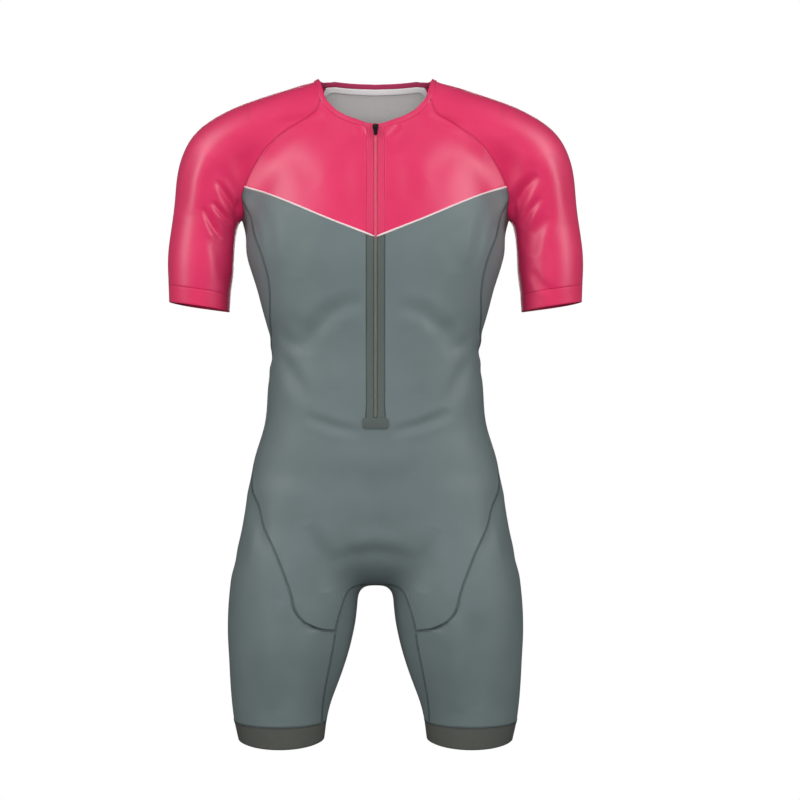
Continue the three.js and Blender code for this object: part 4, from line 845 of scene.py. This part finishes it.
def rounded(node, face, bevel=0.4, segments=2, corner=0):
    """A hard or flat trim: its solid with softened edges, and rounded corners where it has them."""
    bm = merged_copy(node)
    bmesh.ops.dissolve_limit(bm, angle_limit=FLAT_FOLD, verts=bm.verts, edges=bm.edges)
    if corner:
        short = [e for e in bm.edges if e.calc_length() < CORNER_EDGE and e.calc_face_angle() > CORNER_FOLD]
        soften(bm, short, corner, CORNER_STEPS)
    sharp = [e for e in bm.edges if e.is_manifold and e.calc_face_angle() > EDGE_FOLD]
    soften(bm, sharp, bevel, segments)
    return trim(node, bm, [face])


def supple(node, faces, levels=2, softness=0.8, shift=(0, 0, 0), pick=None):
    """A long bent trim: its solid smoothed along its length, with edges kept crisp."""
    bm = merged_copy(node)
    for vert in bm.verts:
        vert.co += Vector(shift)
    bmesh.ops.join_triangles(bm, faces=bm.faces, angle_face_threshold=CRISP_FOLD,
                             angle_shape_threshold=math.pi, topology_influence=1.0)
    crease = bm.edges.layers.float.new("crease_edge")
    for edge in bm.edges:
        if edge.is_manifold and edge.calc_face_angle() > CRISP_FOLD:
            edge[crease] = softness
    if pick:
        for face in bm.faces:
            face.material_index = pick(face)
    piece = fine_sheet(f"{node}_trim", bm, levels)
    set_points(piece.data, lift_neck(points_of(piece.data)))
    return dress(node, piece, faces)


# Sewing thread laid on the cloth

def round_line(name, rows, radius, face, sides=0):
    """Round thread, cord or filament along rows of points."""
    curve = bpy.data.curves.new(name, "CURVE")
    curve.dimensions = "3D"
    curve.bevel_depth = radius
    curve.bevel_resolution = sides
    curve.use_fill_caps = True
    for row in rows:
        spline = curve.splines.new("POLY")
        spline.points.add(len(row) - 1)
        spline.points.foreach_set("co", np.column_stack([row, np.ones(len(row))]).ravel())
    curve.materials.append(face)
    piece = new_object(name, curve)
    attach(piece, SUIT)
    return piece


def seam_rows():
    """Each seam between two sheets: its row of places and the sheets' names, the second empty at a trim."""
    names = list(EDGE_ROWS)
    trees = {name: edge_tree([row["at"] for row in EDGE_ROWS[name]]) for name in names}
    seams = []
    for i, name in enumerate(names):
        for row in EDGE_ROWS[name]:
            nearest = []
            for point in row["at"]:
                found = [(trees[other].find(point)[2], k) for k, other in enumerate(names) if k != i]
                away, k = min(found)
                nearest.append(names[k] if away < SEAM_NEAR else "")
            start = next((k for k in range(len(nearest)) if nearest[k] != nearest[k - 1]), 0)
            order = [(start + k) % len(nearest) for k in range(len(nearest))]
            run = []
            for k in order + [None]:
                if run and (k is None or nearest[k] != nearest[run[0]]):
                    if len(run) > SHORT_ROW:
                        seams.append((name, nearest[run[0]], {key: v[run] for key, v in row.items()}))
                    run = []
                if k is not None:
                    run.append(k)
    return seams


def flatlock(row):
    """Looping thread across a seam and two rows of needle stitches beside it."""
    fine = evenly_along(row, FLATLOCK_PITCH / 4)
    wave = LOOP_WAVE[np.arange(len(fine["at"])) % 4]
    lift = fine["up"] * THREAD * LOOP_LIFT
    centre = fine["at"] + fine["out"] * SEAM_CLOSE + lift
    loops = [centre + fine["out"] * (wave * FLATLOCK_HALF)[:, None]]
    needles = []
    for side in (-1, 1):
        line = centre + fine["out"] * side * FLATLOCK_HALF * NEEDLE_OUT + lift * NEEDLE_LIFT
        needles += [line[k:k + 4:3] for k in range(0, len(line) - 4, 4)]
    return loops, needles


def sew_seams():
    """Flatlock thread over every seam, its cover on the inside, and the groove beside each trim filled."""
    kinds = {}
    for name, other, row in seam_rows():
        pinks = ["yoke" in n or "sleeve" in n for n in (name, other) if n]
        kind = "pink" if pinks[0] else "grey"
        loops, needles, covers, grooves = kinds.setdefault(kind, ([], [], [], []))
        fine = evenly_along(row, GROOVE_STEP)
        if not other:
            if not ("cuff" in name or "band" in name):
                grooves.append(fine["at"] + fine["out"] * SEAM_CLOSE - fine["up"] * SEAM_SINK)
            continue
        grooves.append(fine["at"] + fine["out"] * SEAM_CLOSE - fine["up"] * (SEAM_SINK + GROOVE * SUNK))
        if name > other or not all(p == pinks[0] for p in pinks):
            continue
        covers.append(fine["at"] + fine["out"] * SEAM_CLOSE - fine["up"] * (KNIT_THICK + COVER * SUNK))
        if "cuff" in name or "cuff" in other:
            continue
        more_loops, more_needles = flatlock(row)
        loops.extend(more_loops)
        needles.extend(more_needles)
    finish = {"pink": (PINK_THREAD, "pink_knit"), "grey": (GREY_THREAD, "grey_knit")}
    for kind, (loops, needles, covers, grooves) in kinds.items():
        face, slot = finish[kind]
        round_line(f"{kind}_flatlock_loops", loops, THREAD, face)
        round_line(f"{kind}_flatlock_needle_rows", needles, THREAD, face)
        round_line(f"{kind}_flatlock_inside_cover", covers, COVER, face, sides=1)
        round_line(f"{kind}_seam_filling", grooves, GROOVE, face)


# Zip: two nylon filaments wound into teeth, over the web of the tapes

def zip_line():
    """Places on the cloth along the zip from the neck down, with the way out of the cloth."""
    bm = merged_copy("zip_coil")
    near, far = (COIL_HALF * share for share in COIL_CROWN)
    crown = sorted({(round(v.co.z, 6), round(v.co.y, 6)) for v in bm.verts if near < v.co.x < far},
                   reverse=True)
    bm.free()
    at = np.array([(0, y, z) for z, y in crown])
    run = np.gradient(at, axis=0)
    up = np.column_stack([np.zeros(len(at)), run[:, 2], -run[:, 1]])
    up /= np.linalg.norm(up, axis=1)[:, None]
    return {"at": at - up * COIL_PROUD, "up": up}


def wind_teeth():
    """Two filaments wound from side to side along the zip, pink above the chest seam and grey below."""
    row = evenly_along(zip_line(), TOOTH_PITCH / 4)
    places = np.arange(len(row["at"]))
    turn = places % 4
    across = TOOTH_ACROSS[turn] * MM
    lift = TOOTH_LIFT[turn] * MM
    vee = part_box("piping_left")[0][2]
    pink = row["at"][:, 2] > vee
    for name, face, part in (("pink", PINK_COIL, pink), ("grey", GREY_COIL, ~pink)):
        rows = []
        for side, late in ((1, 0), (-1, 2)):
            keep = np.where(part)[0]
            keep = keep[keep + late < len(places)]
            at = row["at"][keep + late] + row["up"][keep + late] * lift[keep][:, None]
            at[:, 0] = side * across[keep]
            rows.append(at)
        teeth = round_line(f"{name}_zip_teeth", rows, FILAMENT, face, sides=1)
        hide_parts("zip_coil")


cloth("front_body", "trunk", GREY_KNIT, "grey_knit", inside=GREY_INSIDE)
cloth("back_body", "trunk", GREY_KNIT, "grey_knit", inside=GREY_INSIDE)
cloth_pair("front_yoke", "trunk", PINK_KNIT, "pink_knit", inside=PINK_INSIDE)
cloth("back_yoke", "trunk", PINK_KNIT, "pink_knit")
cloth_pair("sleeve", "arm", PINK_KNIT, "pink_knit", inside=PINK_INSIDE)
cloth_pair("sleeve_cuff", "arm", CUFF_KNIT, "sleeve_cuff", inside=CUFF_KNIT)
cloth_pair("leg_panel", "leg", GREY_KNIT, "grey_knit", inside=GREY_INSIDE)
cloth("inner_leg_panel", "leg", GREY_KNIT, "grey_knit", inside=GREY_INSIDE)
cloth_pair("leg_band", "leg", GRIPPER, "leg_gripper", inside=GRIPPER)
close_seams()
for node in SHEETS:
    finish_cloth(node)
sew_seams()


def faces_neck(face):
    middle = face.calc_center_median()
    return int(face.normal.x * middle.x + face.normal.y * (middle.y - NECK_MIDDLE_Y) < NECK_SIDE)


# Faces turned in toward the neck get the darker pink, painted shade for the inside of the neck
supple("neck_binding", [PINK_KNIT, BINDING_PAINTED_SHADE], pick=faces_neck)
supple("neck_tape", [WHITE_TAPE])
wind_teeth()
supple("zip_coil", [GREY_TAPE, PINK_TAPE], shift=(0, WEB_DROP, 0),
       pick=lambda face: int(face.calc_center_median().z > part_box("piping_left")[0][2]))
rounded("zip_end_tab", END_TAB, corner=3.5)
rounded("zip_slider", LACQUER, segments=3)
rounded("zip_pull", LACQUER, bevel=0.35, segments=3)
for side in ("left", "right"):
    supple(f"piping_{side}", [WHITE_PIPING], softness=0)
    supple(f"zip_tape_upper_{side}", [PINK_TAPE])
    supple(f"zip_tape_lower_{side}", [GREY_TAPE])


# Stage, light and camera

def area_light(name, place, aim, size, power, shine=True):
    light = bpy.data.lights.new(name, "AREA")
    light.shape = "RECTANGLE"
    light.size, light.size_y = size
    light.energy = power
    lamp = new_object(name, light)
    lamp.location = place
    lamp.rotation_euler = (Vector(aim) - Vector(place)).to_track_quat("-Z", "Y").to_euler()
    lamp.visible_glossy = shine


def stage():
    bm = bmesh.new()
    bmesh.ops.create_grid(bm, x_segments=1, y_segments=1, size=FLOOR_HALF)
    bmesh.ops.translate(bm, verts=bm.verts, vec=(0, 0, FLOOR_Z))
    floor = finish_object("floor", bm)
    # White studio paper, lit evenly: it shows as plain white with no shadow
    material, tree = new_material("pale_floor")
    glow = add(tree, "ShaderNodeEmission", {"Color": WHITE, "Strength": 1.0})
    add(tree, "ShaderNodeOutputMaterial", {"Surface": (glow, "Emission")})
    floor.data.materials.append(material)
    floor.visible_diffuse = False
    floor.visible_glossy = False
    world = bpy.data.worlds.new("studio")
    world.use_nodes = True
    tree = world.node_tree
    tree.nodes.clear()
    path = add(tree, "ShaderNodeLightPath")
    air = add(tree, "ShaderNodeBackground", {"Color": WHITE, "Strength": AIR_LIGHT})
    paper = add(tree, "ShaderNodeBackground", {"Color": WHITE, "Strength": 1.0})
    both = add(tree, "ShaderNodeMixShader", {"Fac": (path, "Is Camera Ray"), 1: (air, "Background"),
                                             2: (paper, "Background")})
    add(tree, "ShaderNodeOutputWorld", {"Surface": (both, "Shader")})
    bpy.context.scene.world = world
    bpy.context.scene.view_settings.view_transform = "Standard"


def camera():
    data = bpy.data.cameras.new("photo_view")
    data.sensor_width = SENSOR
    data.lens = SENSOR * VIEW_FAR / VIEW_WIDE
    data.shift_x = SUIT_OFF_CENTRE / PHOTO_WIDE
    eye = new_object("photo_view", data)
    eye.location = (0, -VIEW_FAR, EYE_Z)
    eye.rotation_euler = (math.pi / 2, 0, 0)
    bpy.context.scene.camera = eye


stage()
area_light("front_soft", place=(0, -2.6, -0.2), aim=(0, 0, -0.4), size=(0.9, 0.9), power=42, shine=False)
for side, x in (("left", -2.05), ("right", 2.05)):
    area_light(f"sheen_{side}", place=(x, -1.25, 0.85), aim=(0, 0, -0.25), size=(0.8, 2.6), power=36)
area_light("back_fill", place=(0, 2.6, 0.3), aim=(0, 0, -0.45), size=(1.6, 1.6), power=30)
camera()
